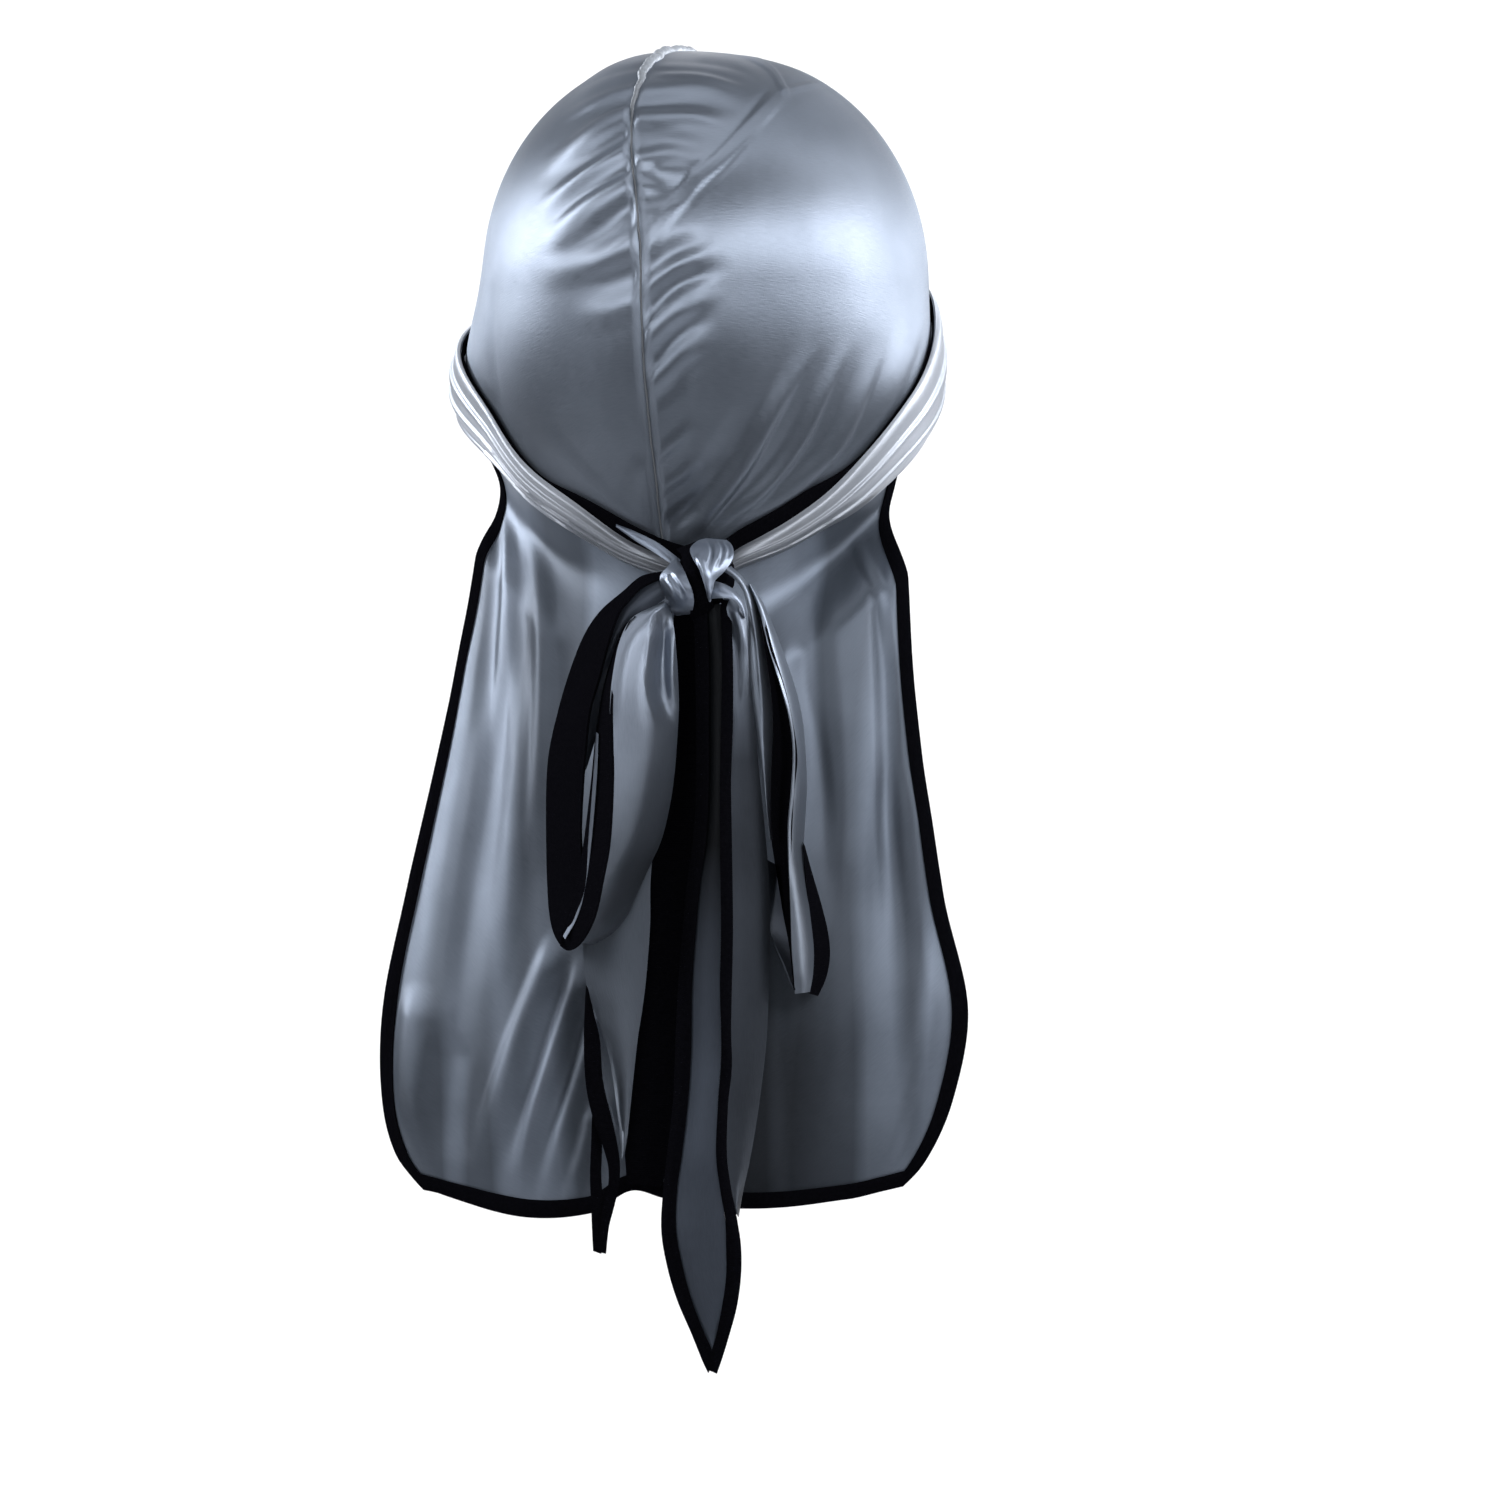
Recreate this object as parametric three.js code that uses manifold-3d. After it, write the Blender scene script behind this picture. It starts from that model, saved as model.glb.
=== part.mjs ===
// A satin durag as it is worn: a two-panel crown, a cape hanging at the nape, and two straps
// that run round the head and are tied in a bow over the cape.
// Millimetres, +Z up. The wearer faces +Y, and the origin is the top of the hollow in the crown.
import * as THREE from 'three';
import { mergeVertices } from 'three/addons/utils/BufferGeometryUtils.js';
import Module from 'manifold-3d';

// The head that the crown fits
const headHalfBreadth = 78;
const headBackReach = 94;
const headFrontReach = 96;
const domeDrop = 81;
const domeFullness = 0.9;
const crownDrop = 181;
const neckDrop = 212;
const leftEarLift = 9;
const rightEarLift = 1.5;
const earDrop = 118;
const earReach = 45;

// Cloth, seam and bindings
const clothWall = 1.2;
const ribbonWall = 1;
const pieceGap = 0.3;
const layerGap = 0.8;
const rimGap = 1.5;
const seamWidth = 3;
const seamRise = 1.6;
const seamDrift = 9;
const crownFoldHeight = 2;
const strapPleats = 3;
const pleatRise = 1.8;
const strapBindingWidth = 5;
const strapBindingWall = 1.8;
const capeBindingWidth = 5.2;
const capeBindingWall = 2.2;

// Cape
const capeLength = 226;
const capeHalfSpread = 100;
const capeBackReach = 61;
const capeLeftAngle = 74;
const capeRightAngle = 78;
const capeFoldHeight = 7;

// Straps, knot and bow
const templeAngle = 140;
const knotAngle = 13;
const strapEndAngle = 6;
const bowAngle = 13.3;
const knotDrop = 189;
const knotHalfWidth = 12.5;
const knotHalfHeight = 13.5;
const knotHalfDepth = 12;
const wrapWall = 2;
const foldedWidth = 23.5;
const leftLoopLength = 128;
const leftLoopSpread = 52;
const rightLoopLength = 144;
const rightLoopSpread = 31;
const pointedTailLength = 274;
const leftTailLength = 233;
const tailLayerGap = 1.6;

const degrees = Math.PI / 180;
const up = new THREE.Vector3(0, 0, 1);

// Satin and binding finishes
const satin = { color: 0x6e7680, roughness: 0.38, metalness: 0.25 };
const binding = { color: 0x0b0b0e, roughness: 0.75, metalness: 0 };

// Head below its widest level: fall is the share of the way down to the neck
const neckRows = [
  { fall: 0.0, side: 1.0, back: 1.0, front: 1.0 },
  { fall: 0.2, side: 1.0, back: 0.97, front: 0.99 },
  { fall: 0.37, side: 0.985, back: 0.9, front: 0.97 },
  { fall: 0.57, side: 0.91, back: 0.77, front: 0.93 },
  { fall: 0.78, side: 0.8, back: 0.65, front: 0.9 },
  { fall: 1.0, side: 0.77, back: 0.63, front: 0.9 },
];

// Band round the head, from the forehead by the ears to the knot: turn in degrees from the back,
// with the left below zero, and its edges as shares of the crown's drop
const bandRows = [
  { turn: -180, upper: 0.33, lower: 0.46 },
  { turn: -140, upper: 0.36, lower: 0.5 },
  { turn: -112, upper: 0.43, lower: 0.6 },
  { turn: -95, upper: 0.5, lower: 0.68 },
  { turn: -77, upper: 0.58, lower: 0.757 },
  { turn: -59, upper: 0.69, lower: 0.827 },
  { turn: -43, upper: 0.81, lower: 0.897 },
  { turn: -26, upper: 0.89, lower: 0.962 },
  { turn: -8, upper: 0.975, lower: 1.025 },
  { turn: 13, upper: 1.02, lower: 1.06 },
  { turn: 24, upper: 0.98, lower: 1.025 },
  { turn: 37, upper: 0.93, lower: 0.99 },
  { turn: 49, upper: 0.87, lower: 0.946 },
  { turn: 60, upper: 0.795, lower: 0.908 },
  { turn: 74, upper: 0.69, lower: 0.84 },
  { turn: 103, upper: 0.51, lower: 0.7 },
  { turn: 125, upper: 0.42, lower: 0.59 },
  { turn: 145, upper: 0.365, lower: 0.51 },
  { turn: 180, upper: 0.33, lower: 0.46 },
];

// Folds pulled in the crown, seen square to the bow: across in shares of the half breadth,
// down in shares of the crown's drop, width in shares of the half breadth
const crownFolds = [
  { across: -0.26, down: 0.125, toAcross: 0.16, toDown: 0.12, width: 0.1, height: 0.9 },
  { across: -0.29, down: 0.225, toAcross: 0.02, toDown: 0.24, width: 0.1, height: 0.8 },
  { across: -0.28, down: 0.14, toAcross: -0.64, toDown: 0.22, width: 0.11, height: 0.9 },
  { across: -0.33, down: 0.26, toAcross: -0.74, toDown: 0.34, width: 0.12, height: 1.0 },
  { across: -0.3, down: 0.4, toAcross: -0.66, toDown: 0.48, width: 0.12, height: 0.7 },
  { across: -0.22, down: 0.47, toAcross: 0.04, toDown: 0.4, width: 0.1, height: 0.8 },
  { across: -0.08, down: 0.95, toAcross: 0.5, toDown: 0.6, width: 0.11, height: 0.9 },
  { across: 0.14, down: 0.93, toAcross: 0.72, toDown: 0.62, width: 0.11, height: 1.0 },
];

// Cape outline and reach: fall is the share of its length below the nape
const capeRows = [
  { fall: -0.3, left: 0.8, right: 0.76, edgeBack: 0.1, middleBack: 0.97 },
  { fall: -0.14, left: 0.76, right: 0.74, edgeBack: 0.3, middleBack: 0.97 },
  { fall: 0.0, left: 0.77, right: 0.785, edgeBack: 0.45, middleBack: 0.98 },
  { fall: 0.22, left: 0.845, right: 0.83, edgeBack: 0.55, middleBack: 1.0 },
  { fall: 0.53, left: 1.0, right: 0.94, edgeBack: 0.62, middleBack: 1.0 },
  { fall: 0.7, left: 1.08, right: 1.035, edgeBack: 0.65, middleBack: 1.0 },
  { fall: 0.84, left: 1.085, right: 0.985, edgeBack: 0.67, middleBack: 1.0 },
  { fall: 0.94, left: 1.03, right: 0.88, edgeBack: 0.68, middleBack: 1.0 },
  { fall: 1.0, left: 0.91, right: 0.75, edgeBack: 0.7, middleBack: 1.0 },
];

// Hem of the cape: across from the left edge to the right edge, fall in shares of its length
const hemRows = [
  { across: -1.0, fall: 0.995 },
  { across: -0.6, fall: 1.03 },
  { across: -0.3, fall: 1.022 },
  { across: -0.13, fall: 0.985 },
  { across: 0.0, fall: 0.995 },
  { across: 0.35, fall: 1.01 },
  { across: 0.75, fall: 1.0 },
  { across: 1.0, fall: 0.975 },
];

// Folds in the cape, seen square to the bow: across in shares of the half spread,
// down in shares of the cape's length below the nape, width in shares of the half spread
const capeFolds = [
  { across: -0.64, down: 0.0, toAcross: -0.66, toDown: 0.5, width: 0.09, height: 0.7 },
  { across: -0.8, down: 0.1, toAcross: -0.93, toDown: 0.9, width: 0.14, height: -0.9 },
  { across: -0.42, down: 0.55, toAcross: -0.78, toDown: 1.0, width: 0.13, height: 1.0 },
  { across: -0.3, down: 0.75, toAcross: -0.5, toDown: 1.02, width: 0.12, height: -0.7 },
  { across: -0.1, down: 0.12, toAcross: -0.16, toDown: 1.0, width: 0.2, height: -1.1 },
  { across: 0.5, down: 0.0, toAcross: 0.62, toDown: 0.75, width: 0.12, height: 0.8 },
  { across: 0.34, down: 0.1, toAcross: 0.36, toDown: 0.9, width: 0.16, height: -0.6 },
  { across: 0.82, down: 0.55, toAcross: 0.72, toDown: 1.0, width: 0.14, height: 1.0 },
];

// Left loop, along its bound edge from the knot, round the bottom and back: across and down in
// shares of its spread and length, back and width in shares of the folded width, turn in degrees
const leftLoopRows = [
  { across: -0.13, down: -0.01, back: 0.0, turn: 60, width: 0.4 },
  { across: -0.28, down: -0.005, back: -0.15, turn: 60, width: 0.42 },
  { across: -0.47, down: 0.05, back: -0.3, turn: 60, width: 0.6 },
  { across: -0.83, down: 0.24, back: -0.45, turn: 58, width: 0.9 },
  { across: -0.98, down: 0.52, back: -0.5, turn: 56, width: 1.0 },
  { across: -1.0, down: 0.73, back: -0.52, turn: 54, width: 1.0 },
  { across: -0.95, down: 0.92, back: -0.62, turn: 46, width: 1.0 },
  { across: -0.84, down: 1.0, back: -0.72, turn: 33, width: 1.0 },
  { across: -0.71, down: 0.93, back: -0.78, turn: 20, width: 1.0 },
  { across: -0.63, down: 0.74, back: -0.8, turn: 12, width: 1.02 },
  { across: -0.59, down: 0.44, back: -0.78, turn: 6, width: 1.0 },
  { across: -0.56, down: 0.23, back: -0.66, turn: 4, width: 0.86 },
  { across: -0.44, down: 0.14, back: -0.52, turn: 8, width: 0.6 },
  { across: -0.24, down: 0.075, back: -0.35, turn: 20, width: 0.34 },
  { across: -0.1, down: 0.03, back: -0.2, turn: 30, width: 0.3 },
];

// Right loop, in the same columns, along the edge that is folded
const rightLoopRows = [
  { across: 0.2, down: 0.0, back: -0.2, turn: 55, width: 0.42 },
  { across: 0.52, down: 0.045, back: -0.3, turn: 60, width: 0.45 },
  { across: 0.73, down: 0.17, back: -0.5, turn: 70, width: 0.7 },
  { across: 0.86, down: 0.31, back: -0.6, turn: 74, width: 0.85 },
  { across: 0.92, down: 0.53, back: -0.62, turn: 74, width: 0.88 },
  { across: 0.93, down: 0.74, back: -0.62, turn: 72, width: 0.88 },
  { across: 1.0, down: 0.92, back: -0.6, turn: 70, width: 0.88 },
  { across: 0.93, down: 1.0, back: -0.56, turn: 72, width: 0.86 },
  { across: 0.74, down: 0.93, back: -0.5, turn: 76, width: 0.84 },
  { across: 0.66, down: 0.74, back: -0.44, turn: 80, width: 0.82 },
  { across: 0.64, down: 0.5, back: -0.42, turn: 80, width: 0.8 },
  { across: 0.6, down: 0.3, back: -0.38, turn: 78, width: 0.7 },
  { across: 0.42, down: 0.12, back: -0.12, turn: 76, width: 0.5 },
  { across: 0.15, down: 0.05, back: 0.02, turn: 65, width: 0.34 },
];

// Pointed tail: down in shares of its length, the bound edge, the lengthwise fold and the bound
// edge of the flap in shares of the folded width, with depth behind the knot's middle
const pointedTailRows = [
  { down: 0.02, edge: -0.06, fold: 0.45, flap: 0.14, back: -0.28 },
  { down: 0.06, edge: 0.02, fold: 0.68, flap: 0.25, back: -0.46 },
  { down: 0.16, edge: -0.02, fold: 0.8, flap: 0.3, back: -0.58 },
  { down: 0.28, edge: -0.06, fold: 0.85, flap: 0.3, back: -0.6 },
  { down: 0.41, edge: -0.16, fold: 0.92, flap: 0.3, back: -0.62 },
  { down: 0.53, edge: -0.26, fold: 0.95, flap: 0.3, back: -0.62 },
  { down: 0.61, edge: -0.34, fold: 0.92, flap: 0.3, back: -0.62 },
  { down: 0.7, edge: -0.45, fold: 0.78, flap: 0.25, back: -0.6 },
  { down: 0.78, edge: -0.57, fold: 0.63, flap: 0.3, back: -0.6 },
  { down: 0.86, edge: -0.55, fold: 0.54, flap: 0.32, back: -0.6 },
  { down: 0.94, edge: -0.24, fold: 0.35, flap: 0.22, back: -0.6 },
  { down: 1.0, edge: 0.02, fold: 0.17, flap: 0.12, back: -0.6 },
];

// Left tail, in the same columns; it passes behind the left loop
const leftTailRows = [
  { down: 0.02, edge: -0.36, fold: 0.1, flap: -0.22, back: 0.12 },
  { down: 0.08, edge: -0.6, fold: -0.1, flap: -0.4, back: 0.3 },
  { down: 0.19, edge: -0.96, fold: -0.4, flap: -0.85, back: 0.46 },
  { down: 0.33, edge: -1.5, fold: -0.6, flap: -1.35, back: 0.52 },
  { down: 0.54, edge: -1.75, fold: -0.78, flap: -1.6, back: 0.5 },
  { down: 0.63, edge: -1.74, fold: -0.84, flap: -1.55, back: 0.45 },
  { down: 0.73, edge: -1.68, fold: -0.92, flap: -1.42, back: 0.4 },
  { down: 0.84, edge: -1.62, fold: -1.13, flap: -1.3, back: 0.36 },
  { down: 0.92, edge: -1.6, fold: -1.28, flap: -1.4, back: 0.34 },
  { down: 1.0, edge: -1.59, fold: -1.33, flap: -1.42, back: 0.34 },
];

const wasm = await Module();
wasm.setup();

// Cubic curve through one column of a table, against a key column that rises from row to row
function columnAt(rows, key, column, at) {
  const last = rows.length - 1;
  if (at <= rows[0][key]) {
    return rows[0][column];
  }
  if (at >= rows[last][key]) {
    return rows[last][column];
  }
  const i = rows.findIndex((row, n) => n < last && rows[n + 1][key] >= at);
  const slope = (n) => {
    const low = rows[Math.max(n - 1, 0)];
    const high = rows[Math.min(n + 1, last)];
    return (high[column] - low[column]) / (high[key] - low[key]);
  };
  const span = rows[i + 1][key] - rows[i][key];
  const t = (at - rows[i][key]) / span;
  const start = rows[i][column];
  const rise = rows[i + 1][column] - start;
  const bend = (slope(i) * (1 - t) - slope(i + 1) * t) * span - rise * (1 - 2 * t);
  return start + rise * t + t * (1 - t) * bend;
}

// The same, with each row's place in the table as the key
function rowAt(rows, column, share) {
  const numbered = rows.map((row, place) => ({ place, value: row[column] }));
  return columnAt(numbered, 'place', 'value', share * (rows.length - 1));
}

function bell(q) {
  return Math.abs(q) < 1 ? (1 - q * q) ** 2 : 0;
}

function smoothStep(q) {
  const t = Math.min(Math.max(q, 0), 1);
  return t * t * (3 - 2 * t);
}

function mix(low, high, share) {
  return low + (high - low) * share;
}

// Height of all folds at a place, each a ridge along a line that fades at both ends
function foldHeight(folds, across, down) {
  let total = 0;
  for (const fold of folds) {
    const runAcross = fold.toAcross - fold.across;
    const runDown = fold.toDown - fold.down;
    const length = runAcross ** 2 + runDown ** 2;
    const along = ((across - fold.across) * runAcross + (down - fold.down) * runDown) / length;
    const nearest = Math.min(Math.max(along, 0), 1);
    const away = Math.hypot(
      across - fold.across - nearest * runAcross,
      down - fold.down - nearest * runDown,
    );
    const ends = smoothStep(nearest / 0.3) * smoothStep((1 - nearest) / 0.4);
    total += fold.height * bell(away / fold.width) * ends;
  }
  return total;
}

// Closed solid between an inner and an outer grid of points
function gridSolid(sample, alongCount, acrossCount) {
  const positions = [];
  const indices = [];
  const rowLength = acrossCount + 1;
  const layer = (alongCount + 1) * rowLength;
  const pairs = [];
  for (let i = 0; i <= alongCount; i += 1) {
    for (let j = 0; j <= acrossCount; j += 1) {
      pairs.push(sample(i / alongCount, j / acrossCount));
    }
  }
  pairs.forEach((pair) => positions.push(...pair.inner.toArray()));
  pairs.forEach((pair) => positions.push(...pair.outer.toArray()));
  const quad = (a, b, c, d) => indices.push(a, b, c, a, c, d);
  for (let i = 0; i < alongCount; i += 1) {
    for (let j = 0; j < acrossCount; j += 1) {
      const a = i * rowLength + j;
      const b = a + 1;
      const c = b + rowLength;
      const d = a + rowLength;
      quad(a, b, c, d);
      quad(layer + a, layer + d, layer + c, layer + b);
    }
  }
  for (let i = 0; i < alongCount; i += 1) {
    const a = i * rowLength;
    const b = a + rowLength;
    quad(a, b, layer + b, layer + a);
    quad(b + acrossCount, a + acrossCount, layer + a + acrossCount, layer + b + acrossCount);
  }
  for (let j = 0; j < acrossCount; j += 1) {
    const end = alongCount * rowLength + j;
    quad(j + 1, j, layer + j, layer + j + 1);
    quad(end, end + 1, layer + end + 1, layer + end);
  }
  const geometry = new THREE.BufferGeometry();
  geometry.setAttribute('position', new THREE.Float32BufferAttribute(positions, 3));
  geometry.setIndex(indices);
  return outwardGeometry(geometry);
}

// Shared vertices merged, triangles with no area dropped and all faces turned outwards
function outwardGeometry(source) {
  const bare = source.index ? source : mergeVertices(source);
  bare.deleteAttribute('normal');
  bare.deleteAttribute('uv');
  const geometry = mergeVertices(bare);
  const position = geometry.attributes.position;
  const corner = (n) => new THREE.Vector3().fromBufferAttribute(position, n);
  const kept = [];
  let volume = 0;
  const index = geometry.index.array;
  for (let i = 0; i < index.length; i += 3) {
    const [a, b, c] = [index[i], index[i + 1], index[i + 2]];
    if (a !== b && b !== c && c !== a) {
      kept.push([a, b, c]);
      volume += corner(a).dot(corner(b).cross(corner(c)));
    }
  }
  const turned = volume < 0 ? kept.map(([a, b, c]) => [a, c, b]) : kept;
  geometry.setIndex(turned.flat());
  return geometry;
}

function toManifold(geometry) {
  return new wasm.Manifold(new wasm.Mesh({
    numProp: 3,
    vertProperties: new Float32Array(geometry.attributes.position.array),
    triVerts: new Uint32Array(geometry.index.array),
  }));
}

function fromManifold(solid) {
  const mesh = solid.getMesh();
  const geometry = new THREE.BufferGeometry();
  geometry.setAttribute('position', new THREE.Float32BufferAttribute(mesh.vertProperties, 3));
  geometry.setIndex([...mesh.triVerts]);
  return geometry;
}

// Head section at a level: 0 is the top, 1 the widest level and 2 the neck
function headSection(level) {
  if (level <= 1) {
    const spread = Math.sin(level * 90 * degrees) ** domeFullness;
    return {
      drop: domeDrop * (1 - Math.cos(level * 90 * degrees)),
      side: headHalfBreadth * spread,
      back: headBackReach * spread,
      front: headFrontReach * spread,
    };
  }
  const fall = level - 1;
  return {
    drop: mix(domeDrop, neckDrop, fall),
    side: headHalfBreadth * columnAt(neckRows, 'fall', 'side', fall),
    back: headBackReach * columnAt(neckRows, 'fall', 'back', fall),
    front: headFrontReach * columnAt(neckRows, 'fall', 'front', fall),
  };
}

function levelAtDrop(drop) {
  if (drop < domeDrop) {
    return Math.acos(1 - drop / domeDrop) / (90 * degrees);
  }
  return 1 + (drop - domeDrop) / (neckDrop - domeDrop);
}

// Point on the head at a turn from the back in degrees and a level, with the ears' swellings
function headPoint(turn, level) {
  const section = headSection(level);
  const sine = Math.sin(turn * degrees);
  const cosine = Math.cos(turn * degrees);
  const middle = (section.front - section.back) / 2;
  const reach = (section.front + section.back) / 2;
  const earSpan = earReach / headHalfBreadth / degrees;
  const ear = bell((section.drop - earDrop) / earReach)
    * (leftEarLift * bell((turn + 85) / earSpan) + rightEarLift * bell((turn - 85) / earSpan));
  return new THREE.Vector3(
    section.side * sine + ear * Math.sign(turn),
    middle - reach * cosine,
    -section.drop,
  );
}

// Outward direction of the head's surface
function headNormal(turn, level) {
  const tiny = 0.01;
  if (level < tiny) {
    return up.clone();
  }
  const across = headPoint(turn + 1, level).sub(headPoint(turn - 1, level));
  const down = headPoint(turn, level + tiny).sub(headPoint(turn, level - tiny));
  return down.cross(across).normalize();
}

// Across and down as seen square to the bow
function seenFromBow(point) {
  return {
    across: point.x * Math.cos(bowAngle * degrees) + point.y * Math.sin(bowAngle * degrees),
    down: -point.z,
  };
}

function bandDrop(turn, share) {
  const lower = columnAt(bandRows, 'turn', 'lower', turn);
  const upper = columnAt(bandRows, 'turn', 'upper', turn);
  return crownDrop * mix(lower, upper, share);
}

function wrappedTurn(turn) {
  if (turn > 180) {
    return turn - 360;
  }
  return turn < -180 ? turn + 360 : turn;
}

// The crown ends under the middle of the band
function rimDrop(turn) {
  return bandDrop(turn, 0.5);
}

function crownLift(point) {
  if (point.y > 0) {
    return 0;
  }
  const seen = seenFromBow(point);
  const behind = smoothStep(-point.y / headBackReach / 0.4);
  return crownFoldHeight * behind
    * foldHeight(crownFolds, seen.across / headHalfBreadth, seen.down / crownDrop);
}

// Crown panel on one side of the centre seam, from the top of the head to the band
function crownPanel(side) {
  const seamHalf = seamWidth / 2 + pieceGap;
  const overrun = 8;
  const shell = gridSolid((along, across) => {
    const turn = side * mix(-overrun, 180 + overrun, along ** 1.4);
    const rim = rimDrop(wrappedTurn(turn));
    const level = levelAtDrop(rim) * across;
    const point = headPoint(turn, level);
    const normal = headNormal(turn, level);
    const aboveBand = smoothStep((rim + point.z) / (0.12 * crownDrop));
    point.addScaledVector(normal, crownLift(point) * aboveBand);
    return { inner: point, outer: point.clone().addScaledVector(normal, clothWall) };
  }, 20, 16);
  const halfSpace = new THREE.BoxGeometry(2 * headHalfBreadth, 4 * headFrontReach, 4 * crownDrop);
  halfSpace.translate(side * (seamHalf + headHalfBreadth), 0, 0);
  return drifted(fromManifold(toManifold(shell).intersect(toManifold(outwardGeometry(halfSpace)))));
}

// The seam lies off the middle at the back of the dome, and takes the cloth beside it along
function drifted(geometry) {
  const position = geometry.attributes.position;
  for (let i = 0; i < position.count; i += 1) {
    const behind = smoothStep(0.5 - position.getY(i) / headFrontReach);
    const high = smoothStep((position.getZ(i) + domeDrop) / (0.8 * domeDrop));
    const beside = bell(2 * position.getX(i) / headHalfBreadth);
    position.setX(i, position.getX(i) - seamDrift * behind * high * beside);
  }
  return geometry;
}

// Rolled seam over the top of the head, from the forehead to the nape
function centreSeam() {
  const frontLevel = levelAtDrop(rimDrop(180));
  const backLevel = levelAtDrop(rimDrop(0));
  return drifted(gridSolid((along, across) => {
    const signed = mix(-frontLevel, backLevel, along);
    const turn = signed < 0 ? 180 : 0;
    const level = Math.abs(signed);
    const normal = headNormal(turn, level);
    const inner = headPoint(turn, level);
    normal.x = 0;
    inner.x = seamWidth * (across - 0.5);
    const bandTop = bandDrop(turn, 1) - 2 * pieceGap - strapBindingWidth;
    const clearOfBand = smoothStep((bandTop + inner.z - seamWidth) / (2 * seamWidth));
    const height = clothWall + clearOfBand * seamRise * Math.sin(Math.PI * across);
    return { inner, outer: inner.clone().addScaledVector(normal, height) };
  }, 28, 4));
}

// Patch of the band on the head's outside, with its thickness given across it
function bandPatch(fromTurn, toTurn, dropAt, wallAt, alongCount, acrossCount) {
  return gridSolid((along, across) => {
    const turn = wrappedTurn(mix(fromTurn, toTurn, along));
    const level = levelAtDrop(dropAt(turn, across));
    const normal = headNormal(turn, level);
    const inner = headPoint(turn, level).addScaledVector(normal, clothWall + layerGap);
    return { inner, outer: inner.clone().addScaledVector(normal, wallAt(across)) };
  }, alongCount, acrossCount);
}

// Pleated strap round one side of the head, from the temple into the knot
function strap(fromTurn, toTurn) {
  const wallAt = (across) => {
    const pleat = Math.abs(Math.sin(Math.PI * strapPleats * across));
    return ribbonWall + pleatRise * pleat;
  };
  return bandPatch(fromTurn, toTurn, bandDrop, wallAt, 20, 2 * strapPleats);
}

// Binding just above the upper edge of a strap
function strapBinding(fromTurn, toTurn) {
  const dropAt = (turn, across) => bandDrop(turn, 1) - pieceGap - strapBindingWidth * across;
  return bandPatch(fromTurn, toTurn, dropAt, () => strapBindingWall, 20, 1);
}

// Band across the forehead, from temple to temple
function frontBand() {
  const from = templeAngle + pieceGap / headHalfBreadth / degrees;
  return bandPatch(from, 360 - from, bandDrop, () => ribbonWall, 14, 2);
}

// Point of the hanging cape at a place across, from -1 at the left edge to 1, and a place down
function capePoint(across, down) {
  const turn = across * (across < 0 ? capeLeftAngle : capeRightAngle);
  const top = rimDrop(turn) + rimGap;
  const hem = crownDrop + capeLength * columnAt(hemRows, 'across', 'fall', across);
  const drop = mix(top, hem, down);
  const fall = (drop - crownDrop) / capeLength;
  const side = across < 0 ? 'left' : 'right';
  const spread = mix(
    columnAt(capeRows, 'fall', 'left', fall),
    columnAt(capeRows, 'fall', 'right', fall),
    smoothStep(across + 0.5),
  );
  const edge = columnAt(capeRows, 'fall', side, fall);
  const width = capeHalfSpread * mix(spread, edge, Math.abs(across));
  const middleBack = columnAt(capeRows, 'fall', 'middleBack', fall);
  const edgeBack = columnAt(capeRows, 'fall', 'edgeBack', fall);
  const hang = new THREE.Vector3(
    across * width,
    -capeBackReach * mix(middleBack, edgeBack, across * across),
    -drop,
  );
  const onHead = headPoint(turn, Math.min(levelAtDrop(drop), 2));
  onHead.z = -drop;
  return onHead.lerp(hang, smoothStep((down - 0.06) / 0.14));
}

// The same with its folds, and the outward direction
function capeSample(across, down) {
  const step = 0.01;
  const point = capePoint(across, down);
  const over = capePoint(across + step, down).sub(capePoint(across - step, down));
  const below = capePoint(across, down + step).sub(point);
  const normal = below.cross(over).normalize();
  const seen = seenFromBow(point);
  const place = (seen.down - crownDrop) / capeLength;
  const free = smoothStep((down - 0.1) / 0.2);
  const lift = foldHeight(capeFolds, seen.across / capeHalfSpread, place);
  point.addScaledVector(normal, capeFoldHeight * free * lift);
  return { point, normal };
}

const capeColumns = 22;
const capeRowCount = 17;

// Shares of the cape's half spread and length that an edge strip of some width takes
function capeMargin(width) {
  return { side: width / capeHalfSpread, hem: width / capeLength };
}

// Rows lie closer together near the nape
function capeRowPlace(share) {
  return share ** 1.25;
}

function cape() {
  const margin = capeMargin(capeBindingWidth + pieceGap);
  return gridSolid((along, across) => {
    const sample = capeSample(
      mix(-1, 1, along) * (1 - margin.side),
      capeRowPlace(across) * (1 - margin.hem),
    );
    const outer = sample.point.clone().addScaledVector(sample.normal, clothWall);
    return { inner: sample.point, outer };
  }, capeColumns, capeRowCount);
}

// Binding down the left edge, along the hem and up the right edge
function capeBinding() {
  const margin = capeMargin(capeBindingWidth);
  const extra = (capeBindingWall - clothWall) / 2;
  const count = capeColumns + 2 * capeRowCount;
  return gridSolid((along, inward) => {
    const station = along * count;
    const past = count - station;
    const down = capeRowPlace(Math.min(station / capeRowCount, past / capeRowCount, 1));
    const hemShare = Math.min(Math.max((station - capeRowCount) / capeColumns, 0), 1);
    const sample = capeSample(
      mix(-1, 1, hemShare) * (1 - margin.side * inward),
      down * (1 - margin.hem * inward),
    );
    const lift = smoothStep((down - 0.06) / 0.12) * extra;
    const inner = sample.point.clone().addScaledVector(sample.normal, -lift);
    const outer = sample.point.clone().addScaledVector(sample.normal, clothWall + lift);
    return { inner, outer };
  }, count, 1);
}

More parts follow.
